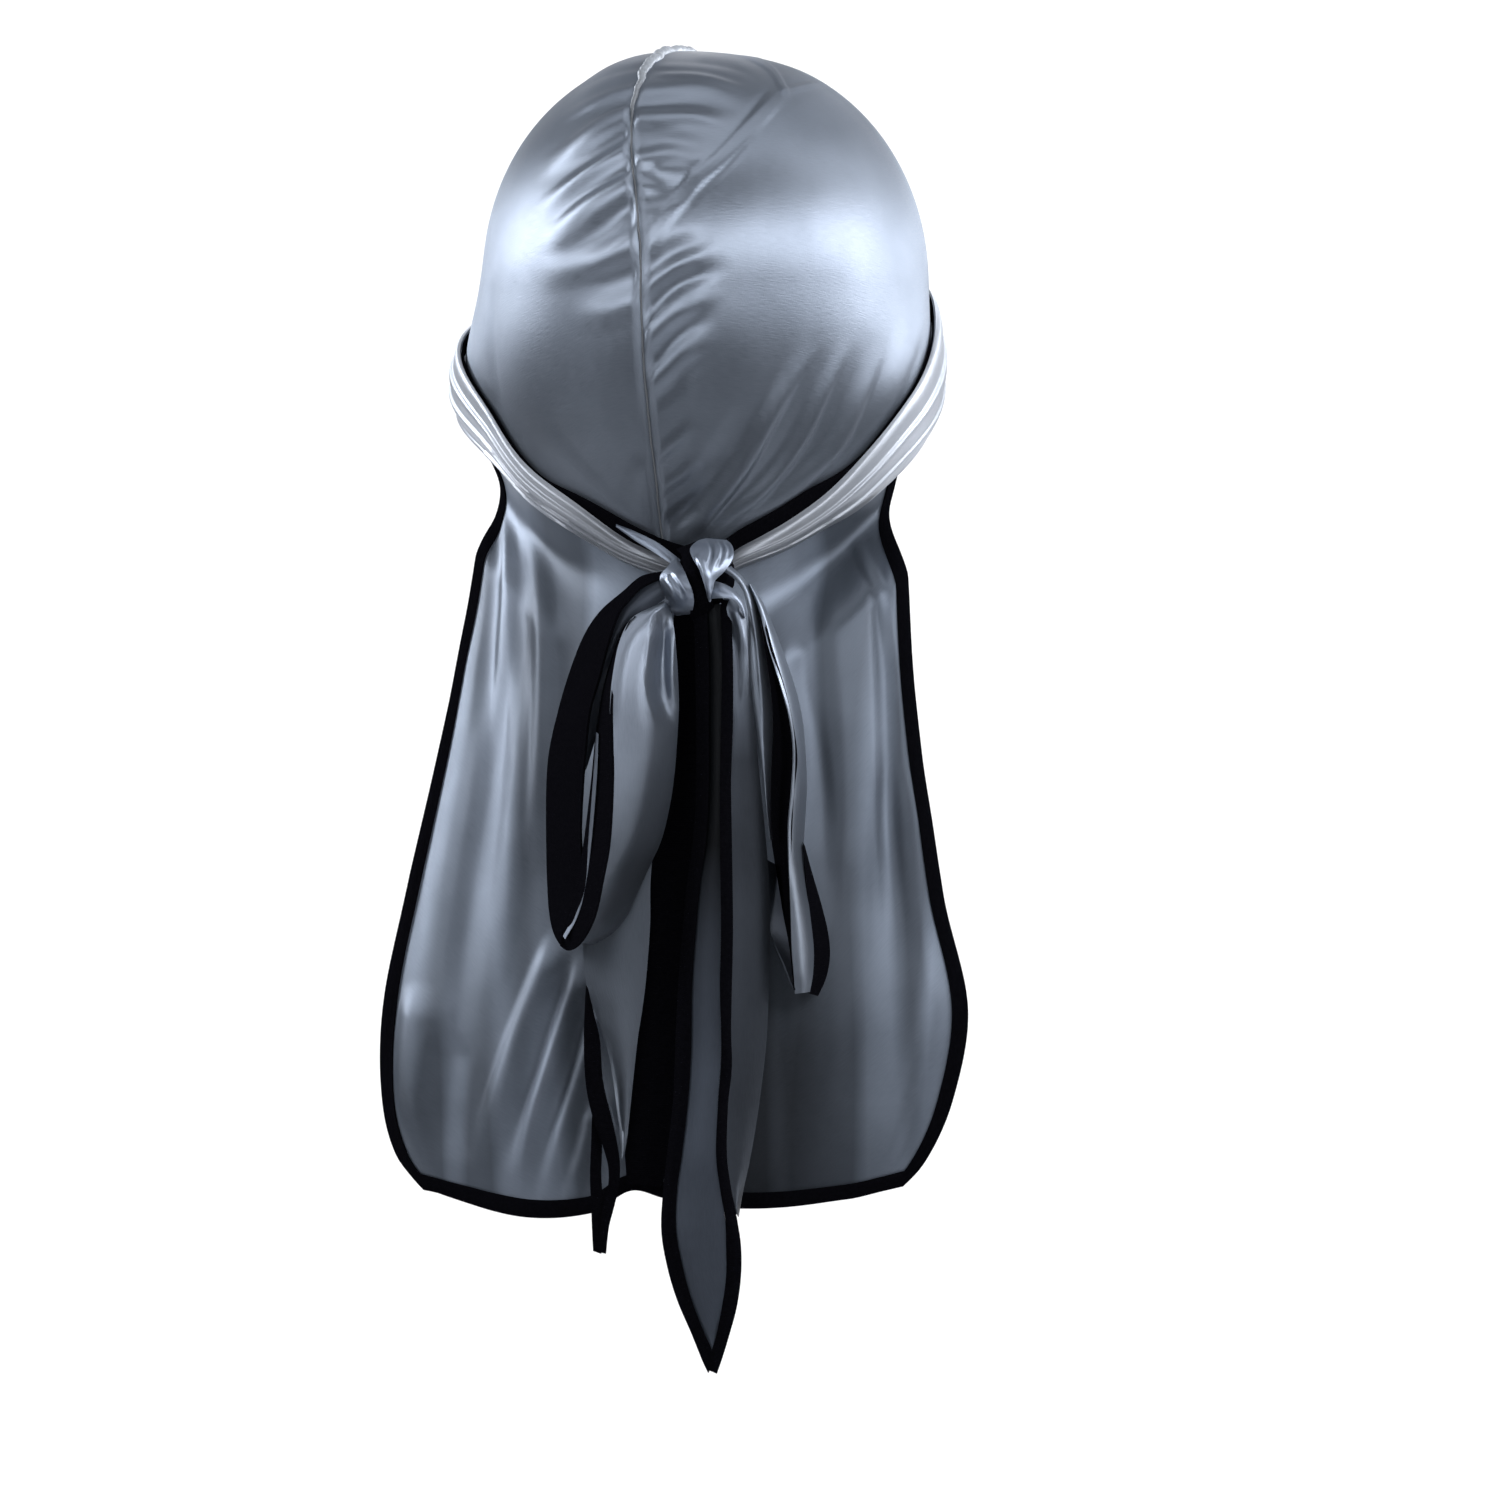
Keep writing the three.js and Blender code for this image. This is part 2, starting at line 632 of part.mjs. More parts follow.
// Thin solid about a surface of points in the bow's frame, between two shares across it
function ribbonSolid(pointAt, wall, fromAcross, toAcross, alongCount, acrossCount) {
  const step = 0.004;
  return gridSolid((along, across) => {
    const place = mix(fromAcross(along), toAcross(along), across);
    const point = pointAt(along, place);
    const forward = pointAt(Math.min(along + step, 1), place)
      .sub(pointAt(Math.max(along - step, 0), place));
    const sideways = pointAt(along, place + step).sub(pointAt(along, place - step));
    const normal = forward.cross(sideways).normalize();
    return {
      inner: point.clone().addScaledVector(normal, -wall / 2),
      outer: point.clone().addScaledVector(normal, wall / 2),
    };
  }, alongCount, acrossCount);
}

// Surface of a loop: 0 across is its table's edge and 1 the opposite edge
function loopPoint(rows, length, spread) {
  return (along, across) => {
    const turn = rowAt(rows, 'turn', along) * degrees;
    const width = foldedWidth * rowAt(rows, 'width', along);
    const swell = 0.1 * width * Math.sin(Math.PI * across);
    const edge = new THREE.Vector3(
      spread * rowAt(rows, 'across', along),
      foldedWidth * rowAt(rows, 'back', along),
      -length * rowAt(rows, 'down', along),
    );
    edge.x += across * width * Math.cos(turn) - swell * Math.sin(turn);
    edge.y += across * width * Math.sin(turn) - swell * Math.cos(turn);
    return edge;
  };
}

// Share across a loop that a strip of some width takes
function loopShare(rows, width, along) {
  return width / (foldedWidth * rowAt(rows, 'width', along));
}

const none = () => 0;
const all = () => 1;

// Surface of a tail folded lengthwise: 0 across is its edge, then the fold, and 1 the flap's edge
const foldShare = 0.55;
const bindingStart = strapBindingWidth + pieceGap;

function tailPoint(rows, length) {
  return (along, across) => {
    const edge = foldedWidth * rowAt(rows, 'edge', along);
    const fold = foldedWidth * rowAt(rows, 'fold', along);
    const flap = foldedWidth * rowAt(rows, 'flap', along);
    const reach = across > foldShare
      ? mix(fold, flap, (across - foldShare) / (1 - foldShare))
      : mix(edge, fold, across / foldShare);
    const layer = (ribbonWall + tailLayerGap) / 2;
    const depth = layer * (1 - 2 * smoothStep((across - foldShare) / 0.2 + 0.5));
    return new THREE.Vector3(
      reach,
      foldedWidth * rowAt(rows, 'back', along) + depth,
      -length * rowAt(rows, 'down', along),
    );
  };
}

// Shares across a tail that a strip of some width takes at its edge and at its flap's edge
function edgeShare(rows, width) {
  return (along) => {
    const layer = foldedWidth * (rowAt(rows, 'fold', along) - rowAt(rows, 'edge', along));
    return foldShare * (width / bindingStart) * Math.min(bindingStart / layer, 0.4);
  };
}

function flapShare(rows, width) {
  return (along) => {
    const layer = foldedWidth * (rowAt(rows, 'fold', along) - rowAt(rows, 'flap', along));
    return 1 - (1 - foldShare) * (width / bindingStart) * Math.min(bindingStart / layer, 0.4);
  };
}

// Rounded body with the given half sizes
function ellipsoid(halfWidth, halfDepth, halfHeight) {
  const geometry = new THREE.SphereGeometry(1, 16, 10);
  geometry.rotateX(90 * degrees);
  geometry.scale(halfWidth, halfDepth, halfHeight);
  return outwardGeometry(geometry);
}

// Wrap of gathered cloth over the knot's core, between two turns about its upright axis
function knotWrap(fromTurn, toTurn) {
  return gridSolid((along, across) => {
    const turn = mix(fromTurn, toTurn, along) * degrees;
    const tilt = mix(-68, 68, across) * degrees;
    const point = (inset) => new THREE.Vector3(
      (knotHalfWidth - inset) * Math.cos(tilt) * Math.sin(turn),
      -(knotHalfDepth - inset) * Math.cos(tilt) * Math.cos(turn),
      (knotHalfHeight - inset) * Math.sin(tilt),
    );
    return { inner: point(wrapWall), outer: point(0) };
  }, 8, 7);
}

function part(name, geometry, finish) {
  const colored = new THREE.MeshStandardMaterial(finish);
  const mesh = new THREE.Mesh(geometry, colored);
  geometry.computeVertexNormals();
  mesh.name = name;
  return mesh;
}

// Frame of the bow: its middle stands off the nape by the knot's half depth
const knotLevel = levelAtDrop(knotDrop);
const knotSeat = headPoint(knotAngle, knotLevel);
const knotOut = headNormal(knotAngle, knotLevel);
knotOut.z = 0;
knotOut.normalize();
const bow = new THREE.Group();
const knotStandOff = clothWall + layerGap + 2 * pieceGap + knotHalfDepth;
bow.position.copy(knotSeat).addScaledVector(knotOut, knotStandOff);
bow.rotation.z = bowAngle * degrees;
bow.updateMatrixWorld(true);

// Room that the knot takes out of the cloth that runs into it
const knotRoom = ellipsoid(
  knotHalfWidth + pieceGap,
  knotHalfDepth + pieceGap,
  knotHalfHeight + pieceGap,
);
const knotRoomInBow = toManifold(knotRoom);
const knotRoomOnHead = toManifold(outwardGeometry(knotRoom.clone().applyMatrix4(bow.matrixWorld)));

function clearOf(room, geometry) {
  return fromManifold(toManifold(geometry).subtract(room));
}

const durag = new THREE.Group();
durag.add(
  part('crown_panel_left', crownPanel(-1), satin),
  part('crown_panel_right', crownPanel(1), satin),
  part('centre_seam', centreSeam(), satin),
  part('front_band', frontBand(), satin),
  part('cape', cape(), satin),
  part('cape_binding', capeBinding(), binding),
  bow,
);

for (const [name, side] of [['strap_left', -1], ['strap_right', 1]]) {
  const from = side * templeAngle;
  const to = knotAngle + side * strapEndAngle;
  durag.add(
    part(name, clearOf(knotRoomOnHead, strap(from, to)), satin),
    part(`${name}_binding`, clearOf(knotRoomOnHead, strapBinding(from, to)), binding),
  );
}

const leftLoop = loopPoint(leftLoopRows, leftLoopLength, leftLoopSpread);
const rightLoop = loopPoint(rightLoopRows, rightLoopLength, rightLoopSpread);
const pointedTail = tailPoint(pointedTailRows, pointedTailLength);
const leftTail = tailPoint(leftTailRows, leftTailLength);

bow.add(
  part('knot_core', ellipsoid(
    knotHalfWidth - wrapWall - pieceGap,
    knotHalfDepth - wrapWall - pieceGap,
    knotHalfHeight - wrapWall - pieceGap,
  ), binding),
  part('knot_wrap_left', knotWrap(-172, -9), satin),
  part('knot_wrap_right', knotWrap(12, 172), satin),
);
durag.updateMatrixWorld(true);

function bowPiece(name, geometry, finish) {
  bow.add(part(name, clearOf(knotRoomInBow, geometry), finish));
}

const loopSteps = 31;
const tailSteps = 20;

const leftShares = (width) => (along) => loopShare(leftLoopRows, width, along);
const rightShares = (width) => (along) => 1 - loopShare(rightLoopRows, width, along);
bowPiece('loop_left', ribbonSolid(
  leftLoop, ribbonWall, leftShares(bindingStart), all, loopSteps, 3,
), satin);
bowPiece('loop_left_binding', ribbonSolid(
  leftLoop, strapBindingWall, none, leftShares(strapBindingWidth), loopSteps, 1,
), binding);
bowPiece('loop_right', ribbonSolid(
  rightLoop, ribbonWall, none, rightShares(bindingStart), loopSteps, 3,
), satin);
bowPiece('loop_right_binding', ribbonSolid(
  rightLoop, strapBindingWall, rightShares(strapBindingWidth), all, loopSteps, 1,
), binding);

for (const [name, rows, surface] of [
  ['tail_pointed', pointedTailRows, pointedTail],
  ['tail_left', leftTailRows, leftTail],
]) {
  bowPiece(name, ribbonSolid(
    surface, ribbonWall, edgeShare(rows, bindingStart), flapShare(rows, bindingStart), tailSteps, 8,
  ), satin);
  bowPiece(`${name}_edge_binding`, ribbonSolid(
    surface, strapBindingWall, none, edgeShare(rows, strapBindingWidth), tailSteps, 1,
  ), binding);
  bowPiece(`${name}_flap_binding`, ribbonSolid(
    surface, strapBindingWall, flapShare(rows, strapBindingWidth), all, tailSteps, 1,
  ), binding);
}

export default durag;
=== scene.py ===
# A satin durag in its worn form, seen from behind: crown, straps, cape and the tied bow.
import math

import bpy
import numpy as np
from mathutils import Euler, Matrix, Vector


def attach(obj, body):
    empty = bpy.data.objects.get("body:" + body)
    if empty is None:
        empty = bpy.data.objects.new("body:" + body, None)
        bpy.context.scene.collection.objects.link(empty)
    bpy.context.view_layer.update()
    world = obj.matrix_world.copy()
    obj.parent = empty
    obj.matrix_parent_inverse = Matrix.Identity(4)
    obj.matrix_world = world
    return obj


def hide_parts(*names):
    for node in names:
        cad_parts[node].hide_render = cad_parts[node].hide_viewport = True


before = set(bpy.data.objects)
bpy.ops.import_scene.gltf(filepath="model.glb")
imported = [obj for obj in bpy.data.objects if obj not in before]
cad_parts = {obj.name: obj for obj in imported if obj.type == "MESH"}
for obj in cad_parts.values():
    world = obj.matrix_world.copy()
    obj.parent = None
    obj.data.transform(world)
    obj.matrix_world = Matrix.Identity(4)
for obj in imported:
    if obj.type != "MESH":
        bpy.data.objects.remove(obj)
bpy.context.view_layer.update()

# The head that the crown fits, in metres
HEAD_HALF_BREADTH = 0.078
HEAD_BACK_REACH = 0.094
HEAD_FRONT_REACH = 0.096
DOME_DROP = 0.081
DOME_FULLNESS = 0.9
CROWN_DROP = 0.181
NECK_DROP = 0.212
LEFT_EAR_LIFT = 0.009
RIGHT_EAR_LIFT = 0.0015
EAR_DROP = 0.118
EAR_REACH = 0.045
EAR_TURN = 85

# Cloth and bindings
CLOTH_WALL = 0.0012
RIBBON_WALL = 0.0009
RIM_GAP = 0.0015
BINDING_WIDTH = 0.0052
TAPE_WIDTH = 0.0066
TAPE_WALL = 0.0008

# Crown: its folds' depth is a share of their heights, and they fade above the strap, beside the
# seam and towards the sides of the head
CROWN_GRID = (220, 170)
CROWN_CROWDING = 1.25
FOLD_DEPTH = 0.8
FOLD_STOP = 0.006
FOLD_RUN_OUT = 0.014
FOLD_SIDE_FADE = 0.03
SEAM_CLEARANCE = 0.003

# Seam over the crown, a puckered roll in a groove, thinner in front and towards the knot
SEAM_DRIFT = 0.009
SEAM_DRIFT_DEPTH = 0.8
SEAM_GROOVE = 0.0004
SEAM_GROOVE_HALF = 0.0015
SEAM_STEPS = 700
SEAM_HALF_WIDTH = 0.0021
SEAM_HEIGHT_SHARE = 0.9
SEAM_SINK = 0.6
SEAM_THINNING = 0.84
SEAM_THINNING_START = 0.002
SEAM_THINNING_RUN = 0.034
SEAM_FRONT_THINNING = 0.3
SEAM_CURL = 1.7
SEAM_WALL = 0.0005
SEAM_SWAY = 0.0006
SEAM_SWAYS = [(1, 0.13, 0), (0.6, 0.31, 2)]  # share, pace and start of each wave
SEAM_PUCKERS = [(0.16, 0.93, 0), (0.1, 0.41, 1), (0.08, 2.1, 0)]

# Cape: where it leaves the head and where its folds begin are shares of the way down
CAPE_GRID = (200, 200)
CAPE_CROWDING = 1.15
CAPE_LENGTH = 0.226
CAPE_HALF_SPREAD = 0.100
CAPE_BACK_REACH = 0.061
CAPE_LEFT_TURN = 74
CAPE_RIGHT_TURN = 78
CAPE_LEAVES_HEAD = 0.06
CAPE_LEAVING_RUN = 0.14
CAPE_FOLDS_START = 0.08
CAPE_FOLDS_RUN = 0.15
CAPE_FOLD_DEPTH = 0.75
CAPE_RIPPLES = [
    # height, pace, sway, sway_pace, sway_start
    (0.00022, 210, 1.2, 22, 0),
    (0.00006, 520, 2, 13, 1),
]
CAPE_TAPE_CROWDING = 1.1
CAPE_TAPE_LIFT = 0.0006
CAPE_TAPE_SWELL = 0.0004
CAPE_TAPE_WALL = 0.0024

# Straps, with turns in degrees, and their tape, which comes out from under them
TEMPLE_TURN = 140
LEFT_STRAP_END = 9
RIGHT_STRAP_END = 18
KNOT_TURN = 13
LEFT_TAPE_START, LEFT_TAPE_RUN = -40, 30
RIGHT_TAPE_START, RIGHT_TAPE_RUN = 62, 22
TAPE_TUCK = 0.0006
STRAP_SWELL = 0.003
STRAP_ROUNDNESS = 0.8
STRAP_GAP = 0.0012
STRAP_TAPE_GAP = 0.0009

# Pleats of the straps, in shares: they waver along the strap and flatten towards the knot
PLEAT_WAVER, PLEAT_WAVER_PACE = 0.08, 9
PLEAT_CLIMB = 0.8
PLEAT_EDGE = 0.16
PLEAT_FLATTENED = 0.3
PLEAT_FLATTENING_RUN = 0.3

# The camera looks level, turned a little from straight behind, at a plane through the head's axis
VIEW_TURN = math.radians(13.3)
VIEW_DISTANCE = 2.0
VIEW_ACROSS = 0.01584
VIEW_HEIGHT = -0.2495
VIEW_WIDTH = 0.54

SMOOTH_ANGLE = math.radians(50)
TENTHS = 10000  # tenths of a millimetre in a metre, the unit of the tables of folds and ribbons
TINY = 1e-14

# Head below its widest level: fall is the share of the way down to the neck
NECK_ROWS = [
    # fall, side, back, front
    (0.0, 1.0, 1.0, 1.0),
    (0.2, 1.0, 0.97, 0.99),
    (0.37, 0.985, 0.9, 0.97),
    (0.57, 0.91, 0.77, 0.93),
    (0.78, 0.8, 0.65, 0.9),
    (1.0, 0.77, 0.63, 0.9),
]

# Band round the head, from the forehead by the ears to the knot: turn in degrees from the back,
# with the left below zero, and its edges as shares of the crown's drop
BAND_ROWS = [
    # turn, upper, lower
    (-180, 0.33, 0.46),
    (-140, 0.36, 0.5),
    (-112, 0.43, 0.6),
    (-95, 0.5, 0.68),
    (-77, 0.58, 0.757),
    (-59, 0.69, 0.827),
    (-43, 0.81, 0.897),
    (-26, 0.89, 0.962),
    (-8, 0.975, 1.025),
    (13, 1.02, 1.06),
    (24, 0.98, 1.025),
    (37, 0.93, 0.99),
    (49, 0.87, 0.946),
    (60, 0.795, 0.908),
    (74, 0.69, 0.84),
    (103, 0.51, 0.7),
    (125, 0.42, 0.59),
    (145, 0.365, 0.51),
    (180, 0.33, 0.46),
]

# Cape outline and reach: fall is the share of its length below the nape
CAPE_ROWS = [
    # fall, left, right, edge_back, middle_back
    (-0.3, 0.8, 0.76, 0.1, 0.97),
    (-0.14, 0.76, 0.74, 0.3, 0.97),
    (0.0, 0.77, 0.785, 0.45, 0.98),
    (0.22, 0.845, 0.83, 0.55, 1.0),
    (0.53, 1.0, 0.94, 0.62, 1.0),
    (0.7, 1.08, 1.035, 0.65, 1.0),
    (0.84, 1.085, 0.985, 0.67, 1.0),
    (0.94, 1.03, 0.88, 0.68, 1.0),
    (1.0, 0.91, 0.75, 0.7, 1.0),
]

# Hem of the cape: across from the left edge to the right edge, fall in shares of its length
HEM_ROWS = [
    # across, fall
    (-1.0, 0.995),
    (-0.6, 1.03),
    (-0.3, 1.022),
    (-0.13, 0.985),
    (0.0, 0.995),
    (0.35, 1.01),
    (0.75, 1.0),
    (1.0, 0.975),
]

# Folds as ridges and valleys. Each has a height and half a width in tenths of a millimetre, a lean
# that makes one flank steeper, a flat share of its top, and a path: places in turn across and down
# the view, in tenths of a millimetre
RIGHT_CROWN_FOLDS = [
    # between the seam and the tape
    (14, 58, 0.2, 0, [-486, -2340, -342, -2365, -191, -2383, -72, -2351, 22, -2297]),
    (-10, 46, 0, 0, [-486, -2311, -342, -2318, -173, -2304, -36, -2254]),
    (13, 46, 0.2, 0, [-486, -2254, -346, -2264, -187, -2272, -22, -2225]),
    (-14, 64, 0, 0, [-486, -2196, -342, -2189, -216, -2171, -79, -2189]),
    (13, 44, 0.2, 0, [-468, -2088, -374, -2117, -281, -2146, -137, -2117]),
    (6, 44, 0, 0, [-353, -2084, -274, -2092, -187, -2088]),
    (-9, 44, 0, 0, [-461, -2110, -367, -2063, -274, -2034, -173, -2063]),
    (-13, 52, 0, 0, [-486, -1973, -360, -1984, -266, -2002, -158, -2038]),
    (5, 25, 0, 0, [-216, -2484, -54, -2462, 65, -2398]),
    (5, 20, 0, 0, [-360, -2448, -162, -2441, 29, -2398]),
    (5, 18, 0, 0, [-360, -2416, -180, -2408, 18, -2358]),
    # below the tape
    (-17, 60, 0.2, 0, [-432, -1656, -346, -1735, -252, -1800, -122, -1843]),
    (12, 64, 0, 0, [-454, -1598, -353, -1678, -238, -1742, -72, -1800]),
    (-21, 66, 0.2, 0, [-439, -1483, -360, -1580, -259, -1685, -65, -1757]),
    (16, 64, 0.2, 0, [-454, -1397, -360, -1483, -252, -1577, -86, -1670]),
    (-16, 56, 0.2, 0, [-418, -1318, -338, -1404, -245, -1505, -108, -1584]),
    (10, 56, 0, 0, [-396, -1267, -317, -1346, -223, -1440, -94, -1512]),
    (-7, 50, 0, 0, [-374, -1231, -295, -1303, -209, -1382, -108, -1440]),
    # pulled out of the knot to the lower right
    (34, 50, 0.4, 0, [-360, -612, -295, -698, -173, -824, -22, -1022, 86, -1220, 245, -1494]),
    (27, 42, 0.4, 0, [-216, -727, -137, -785, 40, -932, 176, -1112, 266, -1296, 360, -1494]),
    (26, 50, 0.4, 0, [-72, -756, 180, -950, 317, -1116, 396, -1278, 475, -1476]),
    (14, 60, 0.4, 0, [252, -950, 418, -1130, 504, -1296, 569, -1476, 619, -1692]),
    (10, 40, 0.3, 0, [482, -1145, 562, -1296, 619, -1512, 648, -1764]),
    (-10, 56, 0, 0, [-360, -684, -295, -792, -158, -1008, 22, -1296]),
    (-10, 50, 0, 0, [-144, -770, 101, -1058, 230, -1310]),
    (9, 34, 0, 0, [-382, -1015, -310, -1080, -252, -1130, -180, -1202]),
    (9, 34, 0, 0, [-367, -893, -295, -958, -230, -1008, -151, -1094]),
    (10, 34, 0, 0, [-360, -821, -281, -886, -202, -950, -108, -1058]),
    # flat seam allowance that shows through, and the piping line round it
    (8, 30, 0, 0.7, [166, -2405, 101, -2347, -18, -2218, -115, -2117, -216, -2023, -382, -1811, -468, -1692]),
    (-3, 11, 0, 0, [122, -2419, 65, -2369, -50, -2243, -144, -2142, -241, -2048, -400, -1832]),
    (-3, 11, 0, 0, [202, -2376, 137, -2315, 14, -2189, -86, -2088, -187, -1994, -364, -1786]),
    (7, 16, 0, 0.4, [130, -2326, 97, -2405, 50, -2455, -72, -2520]),
    (5, 14, 0, 0.4, [94, -2354, 191, -2380, 295, -2398]),
]
LEFT_CROWN_FOLDS = [
    (17, 54, 0.3, 0, [-230, -2311, -360, -2297, -490, -2264, -619, -2178, -756, -2066]),
    (-19, 54, 0.2, 0, [-230, -2282, -367, -2254, -526, -2174, -641, -2095, -770, -1994]),
    (18, 52, 0.2, 0, [-238, -2254, -382, -2196, -554, -2088, -662, -2009, -785, -1908]),
    (-20, 56, 0.2, 0, [-245, -2196, -389, -2131, -540, -2052, -655, -1966, -763, -1865]),
    (20, 62, 0.3, 0, [-252, -2117, -396, -2059, -554, -1980, -655, -1894, -749, -1778]),
    (-28, 78, 0.2, 0, [-266, -2059, -389, -1980, -504, -1890, -605, -1807, -720, -1742]),
    (18, 80, 0.1, 0, [-266, -1886, -396, -1836, -554, -1764, -770, -1706]),
    (-14, 100, 0, 0, [-266, -1750, -389, -1714, -518, -1678, -684, -1642]),
    (10, 80, 0, 0, [-324, -1649, -410, -1620, -518, -1577, -648, -1534]),
    (4, 22, 0, 0, [-252, -2498, -367, -2470, -518, -2434, -684, -2347]),
    (4, 22, 0, 0, [-252, -2462, -389, -2426, -526, -2390, -713, -2290]),
    (6, 24, 0, 0, [-266, -2398, -396, -2376, -540, -2333, -734, -2225]),
    (-8, 32, 0, 0, [-252, -2369, -389, -2340, -540, -2297, -720, -2189]),
    # slack above the left strap
    (8, 60, 0.2, 0, [-288, -684, -540, -936, -720, -1152, -828, -1368]),
    (8, 50, 0.3, 0, [-900, -1188, -936, -1404, -936, -1656, -900, -1872]),
    (7, 70, 0, 0, [-360, -1080, -410, -900, -374, -684]),
]

CAPE_FOLDS = [
    # left side, from the strap down
    (20, 50, 0.2, 0, [-792, -900, -756, -684, -742, -396, -749, -36, -785, 468]),
    (-16, 46, 0, 0, [-842, -936, -821, -648, -814, -324, -828, 108]),
    (13, 36, 0.2, 0, [-878, -972, -871, -684, -886, -360, -929, 108]),
    (-14, 36, 0, 0, [-914, -972, -907, -684, -936, -324, -994, 108]),
    (-18, 120, 0, 0, [-641, -540, -634, -180, -670, 252, -727, 612]),
    (16, 90, 0.2, 0, [-972, -540, -1022, 36, -1102, 540, -1166, 1044]),
    (-14, 80, 0, 0, [-878, -468, -907, 36, -972, 468, -1073, 1116]),
    (10, 70, 0, 0, [-806, -396, -828, 108, -871, 540, -972, 1188]),
    # lower left, fanning out
    (30, 80, 0.4, 0, [-677, 630, -785, 900, -900, 1224, -1008, 1620]),
    (-22, 60, 0, 0, [-641, 720, -734, 972, -835, 1296, -914, 1638]),
    (30, 66, 0.3, 0, [-583, 702, -655, 936, -756, 1260, -850, 1656]),
    (-26, 60, 0, 0, [-569, 846, -648, 1116, -734, 1368, -792, 1656]),
    (28, 56, 0.3, 0, [-547, 900, -612, 1152, -684, 1404, -742, 1663]),
    (20, 46, 0.2, 0, [-554, 1260, -598, 1440, -662, 1663]),
    (40, 120, 0.4, 0, [-1174, 828, -1224, 1080, -1217, 1332, -1116, 1584]),
    (-20, 100, 0, 0, [-1058, 1008, -1102, 1260, -1037, 1548]),
    # deep middle behind the bow
    (-90, 230, 0, 0.3, [-216, -540, -252, -36, -295, 540, -324, 1116, -342, 1584]),
    (30, 110, 0.2, 0, [36, -396, 166, 180, 194, 756, 166, 1584]),
    # right side
    (30, 130, 0.3, 0, [295, -828, 317, -396, 346, 108, 367, 756]),
    (-20, 80, 0, 0, [180, -756, 187, -252, 223, 108, 259, 684]),
    (22, 34, 0.2, 0, [346, -821, 403, -677, 468, -533, 504, -252]),
    (-20, 50, 0, 0, [446, -756, 468, -396, 482, 36, 518, 756]),
    (20, 66, 0.3, 0, [504, -900, 540, -180, 569, 396, 634, 936]),
    (-18, 120, 0, 0, [461, -36, 497, 540, 482, 972, 403, 1548]),
    (14, 120, 0.2, 0, [317, 180, 302, 756, 274, 1116, 252, 1620]),
    (30, 120, 0, 0, [569, 36, 634, 540, 648, 900, 558, 1512]),
    # creases that spread from the knot
    (26, 34, 0.2, 0, [-317, -598, -439, -608, -554, -623]),
    (16, 24, 0.2, 0, [-324, -583, -425, -576, -518, -551]),
    (-14, 30, 0, 0, [-324, -619, -432, -641, -540, -662]),
]


def curve(rows, column):
    """Smooth curve through one column of a table, against its first column, which rises."""
    keys = np.array([row[0] for row in rows], float)
    values = np.array([row[column] for row in rows], float)
    slopes = np.empty(len(keys))
    slopes[1:-1] = (values[2:] - values[:-2]) / (keys[2:] - keys[:-2])
    slopes[0] = (values[1] - values[0]) / (keys[1] - keys[0])
    slopes[-1] = (values[-1] - values[-2]) / (keys[-1] - keys[-2])

    def at(key):
        key = np.clip(key, keys[0], keys[-1])
        i = np.clip(np.searchsorted(keys, key) - 1, 0, len(keys) - 2)
        span = keys[i + 1] - keys[i]
        t = (key - keys[i]) / span
        rise = values[i + 1] - values[i]
        bend = (slopes[i] * (1 - t) - slopes[i + 1] * t) * span - rise * (1 - 2 * t)
        return values[i] + rise * t + t * (1 - t) * bend

    return at


def smooth_step(q):
    t = np.clip(q, 0, 1)
    return t * t * (3 - 2 * t)


def bell(q):
    return np.where(np.abs(q) < 1, (1 - np.clip(q, -1, 1) ** 2) ** 2, 0)


def mix(low, high, share):
    return low + (high - low) * share


def placed(across, down, near):
    """Points that the camera sees across and down, at a distance before the head's axis."""
    shrink = 1 - near / VIEW_DISTANCE
    u = VIEW_ACROSS + across * shrink
    x = u * math.cos(VIEW_TURN) + near * math.sin(VIEW_TURN)
    y = u * math.sin(VIEW_TURN) - near * math.cos(VIEW_TURN)
    return np.stack([x, y, VIEW_HEIGHT - down * shrink], axis=-1)


def placed_vector(across, down, near):
    return Vector(placed(np.array(across), np.array(down), np.array(near)).tolist())


def seen(points):
    """Where the camera sees points across and down, and how near they lie."""
    u = points[..., 0] * math.cos(VIEW_TURN) + points[..., 1] * math.sin(VIEW_TURN)
    near = points[..., 0] * math.sin(VIEW_TURN) - points[..., 1] * math.cos(VIEW_TURN)
    grow = VIEW_DISTANCE / (VIEW_DISTANCE - near)
    return (u - VIEW_ACROSS) * grow, (VIEW_HEIGHT - points[..., 2]) * grow, near


def rounded_path(path, steps=6):
    """The corners of a path with smooth curves between them."""
    corners = np.array([path[0]] + list(path) + [path[-1]], float)
    points = []
    for i in range(1, len(corners) - 2):
        before, start, end, after = corners[i - 1:i + 3]
        for t in np.arange(steps) / steps:
            points.append(start + (end - before) / 2 * t * (1 - t) ** 2
                          - (after - start) / 2 * t * t * (1 - t)
                          + (end - start) * t * t * (3 - 2 * t))
    return np.array(points + [corners[-2]])


